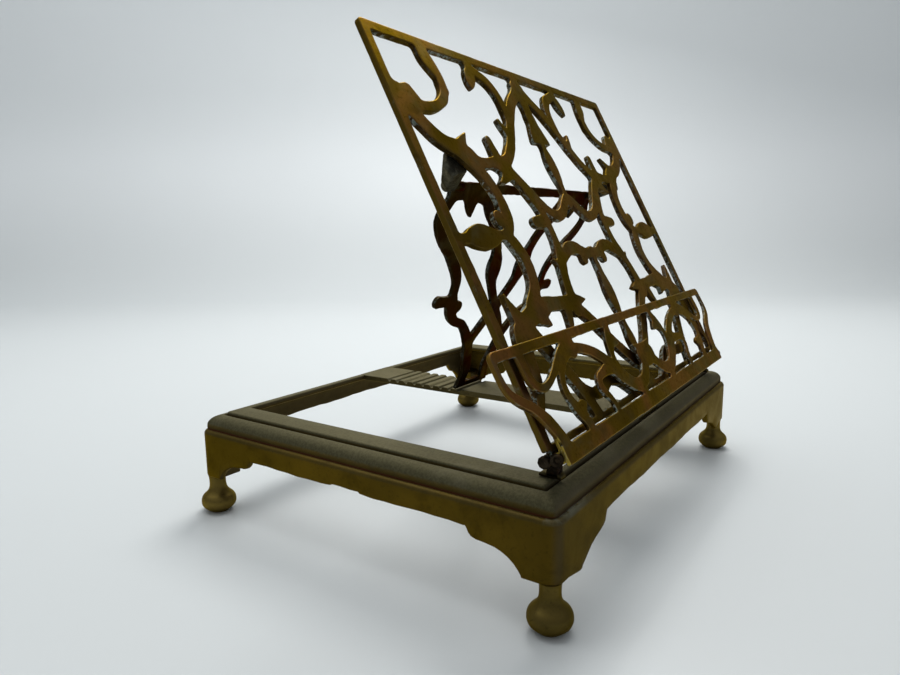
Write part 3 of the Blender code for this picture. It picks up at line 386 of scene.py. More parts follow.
def sheet_mesh(name, field, plane, centre_off, spacing=0.75, edge=0.45, crown=0.06):
    """Turn a field into a sheet with softly rounded edges, standing in its own plane."""
    (fy, fz), tilt, thick = plane
    points, lines = [], []
    for level in (0.0, -0.13 * edge, -0.5 * edge, -edge, -edge - 1.1):
        for loop in outlines(field, level, spacing if level > -edge else spacing * 1.3):
            base = len(points)
            points += [Vector(p) for p in loop]
            lines += [(base + k, base + (k + 1) % len(loop)) for k in range(len(loop))]
    verts, _, tris, *_ = delaunay_2d_cdt(points, lines, [], 0, 0.004, False)
    flat = np.array([tuple(v) for v in verts])
    tris = np.array([t for t in tris if len(t) == 3])
    middle, _ = field.sample(flat[tris].mean(1))
    tris = tris[middle < 0.0]
    used = np.unique(tris)
    remap = np.full(len(flat), -1)
    remap[used] = np.arange(len(used))
    flat, tris = flat[used], remap[tris]
    a, b, c = flat[tris[:, 0]], flat[tris[:, 1]], flat[tris[:, 2]]
    turn = (b[:, 0] - a[:, 0]) * (c[:, 1] - a[:, 1]) - (b[:, 1] - a[:, 1]) * (c[:, 0] - a[:, 0])
    tris = tris[np.abs(turn) > 1e-9]
    turn = turn[np.abs(turn) > 1e-9]
    tris[turn < 0] = tris[turn < 0][:, ::-1]
    halves = np.vstack([tris[:, [0, 1]], tris[:, [1, 2]], tris[:, [2, 0]]])
    known = {(int(p), int(q)) for p, q in halves}
    rim = [(p, q) for p, q in known if (q, p) not in known]
    on_rim = np.zeros(len(flat), bool)
    on_rim[[p for pair in rim for p in pair]] = True

    d, out = field.sample(flat)
    d = np.where(on_rim, 0.0, np.minimum(d, 0.0))
    lean = np.clip(1 + d / edge, 0, 1)
    rise = np.sqrt(1 - lean ** 2)
    high = thick / 2 - edge * (1 - rise) - crown + crown * np.clip((-d - edge) / 1.1, 0, 1)
    across = np.array([1, 0, 0])
    up, front = map(np.array, sheet_axes(tilt))

    def lay(x, y, off):
        return x[:, None] * across + y[:, None] * up + off[:, None] * front

    count = len(flat)
    start = np.array([0, fy, fz])
    coords = np.vstack([start + lay(*flat.T, centre_off + off) for off in (high, -high)]) * MM
    normals = np.vstack([lay(*(lean[:, None] * out).T, off) for off in (rise, -rise)])
    normals /= np.linalg.norm(normals, axis=1)[:, None]
    faces = [tuple(map(int, t)) for t in tris]
    faces += [tuple(int(v) + count for v in t[::-1]) for t in tris]
    faces += [(q, p, p + count, q + count) for p, q in rim]
    mesh = bpy.data.meshes.new(name)
    mesh.from_pydata(coords.tolist(), [], faces)
    mesh.update()
    wear = mesh.attributes.new("rim", "FLOAT", "POINT")
    wear.data.foreach_set("value", np.tile(np.exp(np.minimum(d, 0) / 0.7), 2).astype(np.float32))
    shade_smooth(mesh)
    mesh.normals_split_custom_set_from_vertices(normals.tolist())
    return add_object(name, mesh)


# --------------------------------------------------------------- small solids

def from_bmesh(name, bm, smooth=35):
    bmesh.ops.scale(bm, vec=(MM, MM, MM), verts=bm.verts)
    bmesh.ops.recalc_face_normals(bm, faces=bm.faces)
    mesh = bpy.data.meshes.new(name)
    bm.to_mesh(mesh)
    bm.free()
    shade_smooth(mesh)
    mesh.set_sharp_from_angle(angle=math.radians(smooth))
    return add_object(name, mesh)


def bridge(bm, loops):
    """Quads between each closed loop of vertices and the next."""
    for a, b in zip(loops, loops[1:]):
        for k in range(len(a)):
            n = (k + 1) % len(a)
            bm.faces.new((a[k], a[n], b[n], b[k]))


def lathe(name, profile, place, axis, segments, rounds):
    """Turn (radius, height) points, smoothed, about an axis through place."""
    run = smooth_run([(r, h, 0) for r, h in profile], rounds) if rounds > 1 else profile
    bm = bmesh.new()
    rings = []
    for r, h, *_ in run:
        if r < 1e-4:
            rings.append([bm.verts.new((0, 0, h))])
        else:
            rings.append([bm.verts.new((r * math.cos(2 * math.pi * k / segments),
                                        r * math.sin(2 * math.pi * k / segments), h))
                          for k in range(segments)])
    for a, b in zip(rings, rings[1:]):
        for k in range(segments):
            n = (k + 1) % segments
            loop = list(dict.fromkeys((a[k % len(a)], a[n % len(a)], b[n % len(b)], b[k % len(b)])))
            if len(loop) > 2:
                bm.faces.new(loop)
    if axis == "X":
        bmesh.ops.rotate(bm, matrix=Matrix.Rotation(math.pi / 2, 3, "Y"), verts=bm.verts)
    bmesh.ops.translate(bm, vec=place, verts=bm.verts)
    return from_bmesh(name, bm, 50)


def tube_x(name, outer, bore, x0, x1, y, z, edge=0.3):
    """A knuckle: a short tube along X with softened edges."""
    half = [(bore, 0.1), (bore + edge * 0.5, 0), (outer - edge, 0), (outer - edge * 0.3, edge * 0.3),
            (outer, edge)]
    profile = [(r, x0 + d) for r, d in half] + [(r, x1 - d) for r, d in half[::-1]] + [(bore, x0 + 0.1)]
    return lathe(name, profile, (0, y, z), "X", 36, 1)


def block(name, corners, width=0.4, segments=2):
    """The convex solid through the corners, with rounded edges."""
    bm = bmesh.new()
    for corner in corners:
        bm.verts.new(corner)
    hull = bmesh.ops.convex_hull(bm, input=bm.verts)
    spare = {g for g in hull["geom_interior"] + hull["geom_unused"] if isinstance(g, bmesh.types.BMVert)}
    bmesh.ops.delete(bm, geom=list(spare), context="VERTS")
    bmesh.ops.dissolve_limit(bm, angle_limit=math.radians(2), verts=bm.verts, edges=bm.edges)
    bmesh.ops.bevel(bm, geom=bm.edges[:], offset=width, segments=segments, profile=0.5, affect="EDGES",
                    clamp_overlap=True)
    return from_bmesh(name, bm, 40)


def bake_modifiers(obj):
    depsgraph = bpy.context.evaluated_depsgraph_get()
    mesh = bpy.data.meshes.new_from_object(obj.evaluated_get(depsgraph))
    obj.modifiers.clear()
    obj.data = mesh
    return obj


def join(name, objects):
    """Several solids as one piece."""
    for obj in objects:
        if obj.data.attributes.get("rim") is None:
            obj.data.attributes.new("rim", "FLOAT", "POINT")
    main = objects[0]
    with bpy.context.temp_override(active_object=main, selected_editable_objects=objects,
                                   selected_objects=objects, object=main):
        bpy.ops.object.join()
    main.name = name
    main.data.name = name
    return main


def cut(obj, cutter):
    step = obj.modifiers.new("cut", "BOOLEAN")
    step.operation = "DIFFERENCE"
    step.solver = "EXACT"
    step.object = cutter
    bpy.context.view_layer.update()
    bake_modifiers(obj)
    bpy.data.objects.remove(cutter)
    return obj


# ------------------------------------------------------------------ materials

class Nodes:
    """Short names for building a node tree."""

    def __init__(self, name):
        self.material = bpy.data.materials.new(name)
        self.material.use_nodes = True
        self.tree = self.material.node_tree
        self.shader = self.tree.nodes["Principled BSDF"]
        self.coord = self.tree.nodes.new("ShaderNodeTexCoord")

    def link(self, a, b):
        self.tree.links.new(a, b)

    def put(self, socket, value):
        if isinstance(value, bpy.types.NodeSocket):
            self.link(value, socket)
        else:
            socket.default_value = value

    def math(self, operation, a, b=0.0, clamp=False):
        node = self.tree.nodes.new("ShaderNodeMath")
        node.operation = operation
        node.use_clamp = clamp
        self.put(node.inputs[0], a)
        self.put(node.inputs[1], b)
        return node.outputs[0]

    def times(self, first, *others):
        for other in others:
            first = self.math("MULTIPLY", first, other)
        return first

    def less(self, value):
        """One minus a value."""
        return self.math("SUBTRACT", 1.0, value)

    def paint(self, colour, over, *amounts):
        """Lay one colour over another, as strongly as the product of the amounts."""
        return self.mix(self.times(*amounts), colour, over)

    def split(self):
        """The object's own x, y and z."""
        node = self.tree.nodes.new("ShaderNodeSeparateXYZ")
        self.link(self.coord.outputs["Object"], node.inputs[0])
        return node.outputs

    def noise(self, scale, detail=4.0, rough=0.55, stretch=None, distort=0.0, offset=0.0):
        mapping = self.tree.nodes.new("ShaderNodeMapping")
        self.link(self.coord.outputs["Object"], mapping.inputs["Vector"])
        mapping.inputs["Scale"].default_value = stretch or (1, 1, 1)
        mapping.inputs["Location"].default_value = (offset, offset * 0.7, -offset)
        node = self.tree.nodes.new("ShaderNodeTexNoise")
        self.link(mapping.outputs["Vector"], node.inputs["Vector"])
        node.inputs["Scale"].default_value = scale
        node.inputs["Detail"].default_value = detail
        node.inputs["Roughness"].default_value = rough
        node.inputs["Distortion"].default_value = distort
        return node.outputs["Fac"]

    def ramp(self, value, low, high, invert=False):
        node = self.tree.nodes.new("ShaderNodeMapRange")
        node.interpolation_type = "SMOOTHSTEP"
        self.put(node.inputs["Value"], value)
        node.inputs["From Min"].default_value = low
        node.inputs["From Max"].default_value = high
        node.inputs["To Min"].default_value = 1.0 if invert else 0.0
        node.inputs["To Max"].default_value = 0.0 if invert else 1.0
        return node.outputs["Result"]

    def mix(self, factor, a, b):
        node = self.tree.nodes.new("ShaderNodeMix")
        node.data_type = "RGBA"
        self.put(node.inputs["Factor"], factor)
        for socket, value in ((node.inputs[6], a), (node.inputs[7], b)):
            if isinstance(value, tuple):
                socket.default_value = (*value, 1.0)
            else:
                self.link(value, socket)
        return node.outputs[2]

    def blend(self, factor, a, b):
        node = self.tree.nodes.new("ShaderNodeMix")
        node.data_type = "FLOAT"
        self.put(node.inputs["Factor"], factor)
        self.put(node.inputs[2], a)
        self.put(node.inputs[3], b)
        return node.outputs[0]

    def facing(self, direction):
        """How squarely the surface faces a direction fixed in the object."""
        node = self.tree.nodes.new("ShaderNodeVectorMath")
        node.operation = "DOT_PRODUCT"
        self.link(self.coord.outputs["Normal"], node.inputs[0])
        node.inputs[1].default_value = direction
        return node.outputs["Value"]

    def attribute(self, name):
        node = self.tree.nodes.new("ShaderNodeAttribute")
        node.attribute_name = name
        return node.outputs["Fac"]

    def bump(self, *layers):
        """Stack (height, strength, distance in mm) bumps."""
        normal = None
        for height, strength, distance in layers:
            node = self.tree.nodes.new("ShaderNodeBump")
            node.inputs["Strength"].default_value = strength
            node.inputs["Distance"].default_value = distance * MM
            self.put(node.inputs["Height"], height)
            if normal is not None:
                self.link(normal, node.inputs["Normal"])
            normal = node.outputs["Normal"]
        self.link(normal, self.shader.inputs["Normal"])

    def brass_shine(self):
        self.shader.inputs["Specular IOR Level"].default_value = 0.3
        self.shader.inputs["Specular Tint"].default_value = BRASS_TINT

    def finish(self, colour, roughness, metallic):
        self.put(self.shader.inputs["Base Color"], colour)
        self.put(self.shader.inputs["Roughness"], roughness)
        self.put(self.shader.inputs["Metallic"], metallic)
        return self.material


VERDIGRIS = (0.22, 0.29, 0.25)
CHALK = (0.40, 0.42, 0.38)
DUST = (0.086, 0.079, 0.041)
FILM = (0.098, 0.094, 0.060)
MOULDING_FOOT = (0.0452, 0.0464)   # below it, in metres, the base holds little dust
BRASS_TINT = (0.84, 0.69, 0.42, 1.0)


def scaled(colour, factor):
    return tuple(c * factor for c in colour)


def sheet_metal(name, front, dark, gold, copper, bright, crust, end_x=0.0, end=(0, 0, 0)):
    """Hand-finished sheet brass: mottled faces, bright worn arrises, crusted cut sides."""
    n = Nodes(name)
    large = n.noise(22, 3, 0.5, offset=1.3)
    medium = n.noise(80, 5, 0.6, distort=0.4, offset=4.1)
    fine = n.noise(620, 5, 0.65)
    speckle = n.noise(430, 6, 0.7, distort=0.8, offset=7.7)
    rim = n.attribute("rim")
    side = n.ramp(n.math("ABSOLUTE", n.facing(front)), 0.25, 0.75, invert=True)
    face = n.less(side)
    warm = n.ramp(n.noise(30, 4, 0.6, distort=0.6, offset=9.2), 0.44, 0.60)
    stain = n.times(n.ramp(medium, 0.50, 0.72), 0.6)
    handled = n.ramp(n.noise(60, 4, 0.6, offset=2.2), 0.36, 0.60)
    tarnish = n.ramp(n.noise(110, 4, 0.6, offset=3.0), 0.42, 0.66)
    film = n.ramp(n.noise(46, 5, 0.65, distort=0.7, offset=12.4), 0.50, 0.66)
    patch = n.ramp(n.noise(50, 3, 0.55, offset=5.5), 0.40, 0.56)
    colour = n.mix(n.ramp(large, 0.36, 0.64), dark, gold)
    colour = n.paint(colour, copper, warm, 0.8)
    colour = n.paint(colour, scaled(dark, 0.45), stain)
    colour = n.paint(colour, scaled(dark, 0.4), n.ramp(fine, 0.54, 0.70), 0.5)
    colour = n.paint(colour, bright, n.ramp(rim, 0.45, 0.85), handled, face, 0.5)
    colour = n.paint(colour, scaled(dark, 0.6), side, 0.5)
    colour = n.paint(colour, scaled(dark, 0.3), side, tarnish, 0.7)
    colour = n.paint(colour, FILM, film, face, 0.4)
    colour = n.paint(colour, bright, n.ramp(fine, 0.60, 0.66), side, 0.5)
    bloom = n.times(n.ramp(speckle, 0.46, 0.58), patch, side)
    near = n.times(n.ramp(rim, 0.6, 1.0), n.ramp(speckle, 0.57, 0.64), patch, 0.5)
    bloom = n.times(n.math("MAXIMUM", bloom, near), crust)
    colour = n.mix(bloom, colour, n.mix(n.ramp(fine, 0.4, 0.6), VERDIGRIS, CHALK))
    # Outward faces at the sheet's ends get the end colour, with brighter gold past it. On the ledge that
    # bright yellow is a painted highlight on its lit cut ends; on the plate it is the golden outer side.
    if end_x:
        x = n.split()["X"]
        across = n.math("ABSOLUTE", x)
        outward = n.ramp(n.times(n.facing((1, 0, 0)), x), 0.055, 0.100)
        tip = n.times(n.ramp(across, (end_x - 0.6) * MM, (end_x - 0.1) * MM), outward)
        past_end = n.ramp(across, (end_x + 0.3) * MM, (end_x + 0.5) * MM)
        shade = n.mix(past_end, end, scaled(gold, 1.3))
        colour = n.paint(colour, shade, tip, n.ramp(medium, 0.85, 0.5))
        bloom = n.times(bloom, n.less(tip))
    rough = n.blend(n.ramp(medium, 0.3, 0.7), 0.30, 0.46)
    rough = n.blend(n.ramp(fine, 0.5, 0.7), rough, 0.54)
    rough = n.blend(bloom, n.blend(side, rough, 0.52), 0.9)
    metallic = n.blend(bloom, n.blend(stain, 1.0, 0.8), 0.0)
    crusty = n.times(speckle, n.blend(side, 0.12, 1.0))
    n.bump((n.noise(38, 3, 0.5, offset=6.0), 0.35, 1.2), (medium, 0.22, 0.35), (crusty, 0.5, 0.45),
           (n.noise(2600, 2, 0.5), 0.10, 0.05))
    n.brass_shine()
    return n.finish(colour, rough, metallic)


def cast_metal(name, dark, gold, dusty, moulded=False):
    """Cast brass, oily brown on its sides and dulled by dust where it faces up; on the base, faces turned to
    the front get a painted greyer tone for the pale room they reflect.
    """
    n = Nodes(name)
    large = n.noise(17, 3, 0.5, offset=2.6)
    medium = n.noise(75, 5, 0.62, distort=0.5, offset=8.3)
    fine = n.noise(560, 5, 0.65)
    grain = n.noise(2400, 3, 0.6)
    streak = n.noise(60, 4, 0.6, stretch=(0.16, 0.16, 1.0), offset=3.3)
    colour = n.mix(n.ramp(large, 0.34, 0.66), dark, gold)
    colour = n.paint(colour, scaled(dark, 0.5), n.ramp(medium, 0.5, 0.75), 0.45)
    colour = n.paint(colour, scaled(gold, 1.25), n.ramp(streak, 0.54, 0.7), 0.25)
    colour = n.paint(colour, scaled(dark, 0.4), n.ramp(fine, 0.54, 0.70), 0.4)
    settle = n.times(n.ramp(n.facing((0, 0, 1)), -0.30, 0.55), 0.8)
    for layer, share in ((fine, 0.25), (medium, 0.15)):
        settle = n.math("ADD", settle, n.times(n.math("SUBTRACT", layer, 0.5), share))
    dust = n.math("MULTIPLY", n.ramp(settle, 0.22, 0.72), dusty, clamp=True)
    if moulded:
        dust = n.times(dust, n.blend(n.ramp(n.split()["Z"], *MOULDING_FOOT), 0.25, 1.0))
    wipe = n.times(n.ramp(n.noise(21, 4, 0.6, distort=0.8, offset=5.2), 0.50, 0.72), 0.45)
    veil = n.mix(n.ramp(n.noise(900, 4, 0.7, offset=5.9), 0.40, 0.62), DUST, scaled(DUST, 0.7))
    colour = n.mix(dust, colour, n.mix(wipe, veil, (0.150, 0.140, 0.092)))
    rough = n.blend(dust, n.blend(n.ramp(medium, 0.3, 0.7), 0.38, 0.52), 0.62)
    metallic = n.blend(dust, 0.98, 0.45)
    layers = [(large, 0.3, 2.0), (medium, 0.12, 0.3), (fine, 0.18, 0.12), (grain, 0.14, 0.05)]
    if moulded:
        # Painted reflection: faces turned to the front are given a greyer, less yellow tone.
        colour = n.paint(colour, (0.058, 0.047, 0.028), n.ramp(n.facing((0, -1, 0)), 0.45, 0.95), 0.65)
        painted_shade = n.attribute("painted_shade")
        chalky = n.ramp(n.noise(120, 6, 0.7, distort=0.6, offset=1.9), 0.36, 0.56)
        pale = n.times(n.attribute("pale"), chalky)
        # Painted shade: the grooves and the faces under the top band are darkened towards black and dulled.
        colour = n.paint(colour, scaled(dark, 0.2), painted_shade, 0.8)
        colour = n.paint(colour, (0.085, 0.018, 0.008), n.attribute("red"), 0.85)
        colour = n.paint(colour, (0.22, 0.24, 0.19), pale, 0.7)
        dull = n.math("MAXIMUM", painted_shade, pale)
        rough = n.blend(dull, rough, 0.8)
        metallic = n.blend(dull, metallic, 0.2)
        worn = n.ramp(n.noise(48, 4, 0.6, offset=2.9), 0.42, 0.62)
        colour = n.paint(colour, (0.120, 0.100, 0.050), n.attribute("rim"), worn, 0.4)
        layers.append((n.noise(900, 4, 0.7, offset=4.4), 0.12, 0.08))
    n.bump(*layers)
    n.brass_shine()
    return n.finish(colour, rough, metallic)


def dark_metal(name, tone, rust, rough_low, rough_high, pits):
    n = Nodes(name)
    medium = n.noise(140, 5, 0.65, distort=0.4, offset=3.1)
    fine = n.noise(900, 5, 0.65, offset=1.1)
    colour = n.mix(n.ramp(medium, 0.40, 0.62), tone, scaled(tone, 0.3))
    colour = n.paint(colour, rust, n.ramp(n.noise(220, 4, 0.6, offset=6.3), 0.52, 0.68), 0.7)
    rough = n.blend(n.ramp(fine, 0.35, 0.65), rough_low, rough_high)
    n.bump((medium, pits, 0.5), (fine, pits, 0.2))
    return n.finish(colour, rough, 0.9)


plate_brass = sheet_metal("plate_brass", sheet_axes(PLATE[1])[1],
                          (0.062, 0.038, 0.010), (0.106, 0.065, 0.014),
                          (0.150, 0.068, 0.030), (0.25, 0.165, 0.040), 0.8,
                          PLATE_HALF_X, (0.105, 0.066, 0.010))
# The ledge's last colour, a bright yellow, is a painted highlight on its outward cut ends.
ledge_brass = sheet_metal("ledge_brass", sheet_axes(LEDGE[1])[1],
                          (0.066, 0.040, 0.011), (0.124, 0.071, 0.014),
                          (0.190, 0.078, 0.030), (0.28, 0.185, 0.045), 1.0, LEDGE_FOOT_X, (0.60, 0.44, 0.07))
# The prop's brass is painted far darker than the plate's: painted shade for the prop lying under the plate.
prop_brass = sheet_metal("prop_brass", sheet_axes(PROP[1])[1],
                         (0.020, 0.014, 0.005), (0.038, 0.027, 0.009),
                         (0.036, 0.021, 0.009), (0.08, 0.06, 0.03), 0.2)
base_brass = cast_metal("base_brass", (0.074, 0.047, 0.006), (0.114, 0.071, 0.008), 1.0, True)
foot_brass = cast_metal("foot_brass", (0.085, 0.060, 0.014), (0.210, 0.148, 0.036), 0.1)
rack_brass = cast_metal("rack_brass", (0.060, 0.047, 0.018), (0.095, 0.074, 0.028), 0.9)
# Near-black brass for the hinge lugs' plinths: painted shade for the shadow under the hinge barrels.
shadowed_lug_brass = cast_metal("shadowed_lug_brass", (0.022, 0.016, 0.006), (0.040, 0.029, 0.010), 0.4)
lug_iron = dark_metal("lug_metal", (0.085, 0.080, 0.060), (0.040, 0.032, 0.018), 0.4, 0.65, 0.8)
pin_iron = dark_metal("pin_iron", (0.036, 0.027, 0.017), (0.030, 0.017, 0.008), 0.35, 0.6, 0.6)

# On the prop, the dimmer edge tint is painted shade as well.
for metal, tint in ((prop_brass, (0.50, 0.38, 0.19, 1)), (lug_iron, (0.52, 0.47, 0.36, 1)),
                    (pin_iron, (0.40, 0.33, 0.25, 1))):
    metal.node_tree.nodes["Principled BSDF"].inputs["Specular Tint"].default_value = tint


def coat(obj, material):
    obj.data.materials.clear()
    obj.data.materials.append(material)
    return obj


def dress(obj, body, material, slot, *nodes):
    """Give a piece its finish, its body and the solids that it stands for."""
    if material:
        coat(obj, material)
    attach(obj, body)
    if nodes:
        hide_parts(*nodes)
    return obj


# ----------------------------------------------------------------- the sheets

def pierced_field(stems, buds, leaf, half_x, low, high, fillet):
    """The left half's stems, buds and leaf, then their mirror image."""
    field = Field(half_x, low, high)
    for stations in stems.values():
        field.stem(stations, fillet)
    for bud in buds:
        field.disc(*bud, fillet * 0.6)
    if leaf:
        field.polygon(leaf, fillet)
    field.mirror(fillet)
    return field


def both_sides(inner, outer):
    """The low and high x of a stretch on the left, then on the right."""
    return [sorted((sx * inner, sx * outer)) for sx in (-1, 1)]


def tab(at, ends, shape, width):
    """A block across a hinge, from (up, out) points between two places along it."""
    return block("k", [at(u, w, x) for x in ends for u, w in shape], width)


def make_plate():
    field = pierced_field(PLATE_STEMS, PLATE_BUDS, RAIL_LEAF, PLATE_HALF_X, 12, PLATE_TOP, 1.3)
    field.polygon(BELL, 0.8)
    for stations in PLATE_CENTRE:
        field.stem(stations, 1.4)
    edge = PLATE_HALF_X
    field.bar(-edge, PLATE_TOP - RAIL, edge, PLATE_TOP, 0.5, 1.8)
    for x0, x1 in both_sides(edge - RAIL, edge):
        field.bar(x0, 16.2, x1, PLATE_TOP, 0.5, 1.8)
    field.bar(-edge + 3, PLATE_LOW, edge - 3, 18.2, 0.4, 1.0)
    field.roughen(0.10, 1)
    field.keep(-edge, PLATE_LOW, edge, PLATE_TOP, 2.2)
    solids = [sheet_mesh("plate_sheet", field, PLATE, -PLATE[2] / 2, edge=0.6, crown=0.08)]
    at = placer(PLATE[1], PLATE_AXIS)
    front = offsets(PLATE[1], PLATE_AXIS, PLATE[0])[1]
    ledge_up = offsets(PLATE[1], PLATE_AXIS, LEDGE_AXIS)[0]
    arm = [(1.3, -0.4), (5.0, front - 2.3), (5.0, front - 0.3), (1.3, 2.9)]
    ear = [(u, w) for u in (ledge_up, 4.9) for w in (front - 1.6, front - 0.1)]
    for outer, inner in zip(both_sides(*OUTER_KNUCKLE), both_sides(*INNER_KNUCKLE)):
        solids += [tube_x("k", 2.3, HINGE_BORE, *outer, *PLATE_AXIS), tab(at, outer, arm, 0.3),
                   tube_x("k", 2.0, HINGE_BORE, *inner, *LEDGE_AXIS), tab(at, inner, ear, 0.25)]
    return dress(join("plate_visual", solids), "plate", plate_brass, "plate_brass", "reading_plate")


def make_ledge():
    field = pierced_field(LEDGE_STEMS, [], [], 137, 0, LEDGE_TOP, 1.4)
    field.bar(-LEDGE_HALF_X, LEDGE_TOP - LEDGE_RAIL, LEDGE_HALF_X, LEDGE_TOP, 2.2, 1.4)
    field.bar(-LEDGE_FOOT_X, 0, LEDGE_FOOT_X, LEDGE_FOOT, 0.5, 1.6)
    field.roughen(0.09, 2)
    field.keep(-LEDGE_HALF_X, 0, LEDGE_HALF_X, LEDGE_TOP, 3.4)
    sheet = sheet_mesh("ledge_sheet", field, LEDGE, -LEDGE[2] / 2, edge=0.75, crown=0.14)
    for x0, x1 in both_sides(INNER_KNUCKLE[0] - 0.3, OUTER_KNUCKLE[0] - 0.1):
        cut(sheet, lathe("c", [(0, x0), (2.35, x0), (2.35, x1), (0, x1)], (0, *LEDGE_AXIS), "X", 32, 1))
    solids = [sheet]
    at = placer(LEDGE[1], LEDGE_AXIS)
    front = offsets(LEDGE[1], LEDGE_AXIS, LEDGE[0])[1]
    cheek = [(-1.9, 0.9), (2.3, 0.4), (8.5, front - 2.6), (8.5, front - 1.2), (-3.2, front - 1.2)]
    for ends in both_sides(OUTER_KNUCKLE[0], OUTER_KNUCKLE[1] - 0.1):
        solids += [tube_x("k", 2.5, HINGE_BORE, *ends, *LEDGE_AXIS), tab(at, ends, cheek, 0.3)]
    return dress(join("ledge_visual", solids), "ledge", ledge_brass, "plate_brass", "book_ledge")


def make_prop():
    field = pierced_field(PROP_STEMS, [], [], PROP_EDGE_X, -3, PROP_REACH, 2.2)
    field.stem([(-x, y, w) for x, y, w in PROP_STEMS["diagonal"]], 2.0)
    field.stem(PROP_STEMS["diagonal"], 0.0)
    field.bar(-PROP_HALF_X + 1, -2.3, PROP_HALF_X - 1, 2.3, 0.8, 2.0)
    field.bar(-PROP_TOE_X, PROP_REACH - 3.2, PROP_TOE_X, PROP_REACH, 0.6, 1.6)
    field.roughen(0.10, 3)
    field.keep(-PROP_EDGE_X, PROP_LOW, PROP_EDGE_X, PROP_REACH, 1.0)
    solids = [sheet_mesh("prop_sheet", field, PROP, 0.0)]
    for ends in both_sides(70.0, PROP_HALF_X):
        solids.append(tube_x("k", 2.45, PROP_BORE, *ends, *PROP[0], edge=0.5))
    return dress(join("prop_visual", solids), "prop", prop_brass, "prop_brass", "easel_prop")


# ------------------------------------------------------------------- the base

HALF_X, HALF_Y = 128.7, 103.5
OPEN_X, OPEN_Y = 105.7, 89.3
TOP, BOTTOM = 53.8, 20.0
CORNER = 6.5       # radius of the outer corners
CORNER_STEPS = 10
SIDE_BRACKET = [(-30, 20), (0.0, 20), (0.35, 20.9), (1.6, 22.7), (3.4, 24.7), (5.9, 26.6), (8.6, 28.0),
                (11.6, 29.0), (16.0, 29.6), (20.0, 29.9), (22.2, 30.6), (23.4, 31.8), (24.2, 33.4),
                (25.0, 34.5), (200, 34.5)]
FRONT_BRACKET = [(-16, 20), (-12, 19.8), (-8, 19.1), (-4, 18.2), (-1.0, 17.7), (0.0, 17.8), (0.35, 18.5),
                 (2.0, 19.4), (4.6, 21.0), (8.6, 23.4), (13.8, 25.2), (18.0, 26.2), (21.2, 27.1),
                 (22.9, 28.2), (23.8, 30.5), (24.6, 33.2), (200, 33.4)]
REAR_BRACKET = [(-30, 20), (0.0, 20), (0.4, 21.6), (2.0, 26.0), (3.4, 28.2), (5.0, 29.8), (7.2, 31.6),
                (10.0, 32.8), (12.0, 33.2), (13.4, 34.2), (14.2, 36.0), (15.0, 38.6), (200, 38.8)]
# half length, foot's reach and bracket outline of the right, rear, left and front sides
BRACKETS = {0: (HALF_Y, 14.7, SIDE_BRACKET), 1: (HALF_X, 15.0, REAR_BRACKET),
            2: (HALF_Y, 14.7, SIDE_BRACKET), 3: (HALF_X, 22.5, FRONT_BRACKET)}


def apron_edge(side, along):
    """Lower edge of the apron on a side, at a place along it."""
    half, foot, bracket = BRACKETS[side]
    xs, zs = zip(*bracket)
    z = float(np.interp(half - foot - abs(along), xs, zs))
    if half - foot - abs(along) > 25.0:
        if side in (0, 2) and abs(along) < 9:
            z += 0.7
        z += 0.22 * math.sin(along * 0.13 + side) + 0.14 * math.sin(along * 0.41 + 2 * side)
    return z


def perimeter(side):
    """Stations along one side, closer together where its lower edge curves."""
    half, foot, _ = BRACKETS[side]
    straight = half - CORNER
    ends = half - foot
    marks = set()
    for step in (-12, -8, -4, -1.0, 0.0, 0.35, 0.9, 1.6, 2.5, 3.4, 4.6, 5.9, 7.2, 8.6, 10, 11.6,
                 13.8, 16.0, 18, 20.0, 21.2, 22.2, 22.9, 23.4, 24.2, 25.0, 25.6):
        marks.update((round(ends - step, 2), round(-(ends - step), 2)))
    count = int(2 * (ends - 26) / 6)
    marks.update(round(float(v), 2) for v in np.linspace(-(ends - 26), ends - 26, count))
    marks.update((9.0, 8.2, -8.2, -9.0, 14.5, -14.5))
    marks = sorted(m for m in marks if abs(m) < straight - 0.2)
    return [-straight, *marks, straight]


SIDES = [perimeter(k) for k in range(4)]


def loop_round(hx, hy, radius, height):
    """A loop round the base; height takes a side and the place along it, None at a corner."""
    loop = []
    for side, (cx, cy) in enumerate(((1, 1), (-1, 1), (-1, -1), (1, -1))):
        for s in SIDES[side]:
            z = height(side, s)
            if side in (0, 2):
                along = s / (HALF_Y - CORNER) * (hy - radius)
                loop.append((hx, along, z) if side == 0 else (-hx, -along, z))
            else:
                along = s / (HALF_X - CORNER) * (hx - radius)
                loop.append((-along, hy, z) if side == 1 else (along, -hy, z))
        for k in range(1, CORNER_STEPS):
            turn = math.pi / 2 * (side + k / CORNER_STEPS)
            loop.append((cx * (hx - radius) + radius * math.cos(turn),
                         cy * (hy - radius) + radius * math.sin(turn), height(side, None)))
    return loop


def ring(inset, radius, z=None, edge=None):
    """A loop inside the outer faces.  With edge, each height is the apron's lower edge plus edge."""
    def height(side, s):
        if edge is None:
            return z
        return (BOTTOM if s is None else apron_edge(side, s)) + edge

    return loop_round(HALF_X - inset, HALF_Y - inset, radius, height)


def opening(shrink, z):
    """A loop round the opening, with as many stations as the outer rings."""
    return loop_round(OPEN_X + shrink, OPEN_Y + shrink, 1.2, lambda side, s: z)


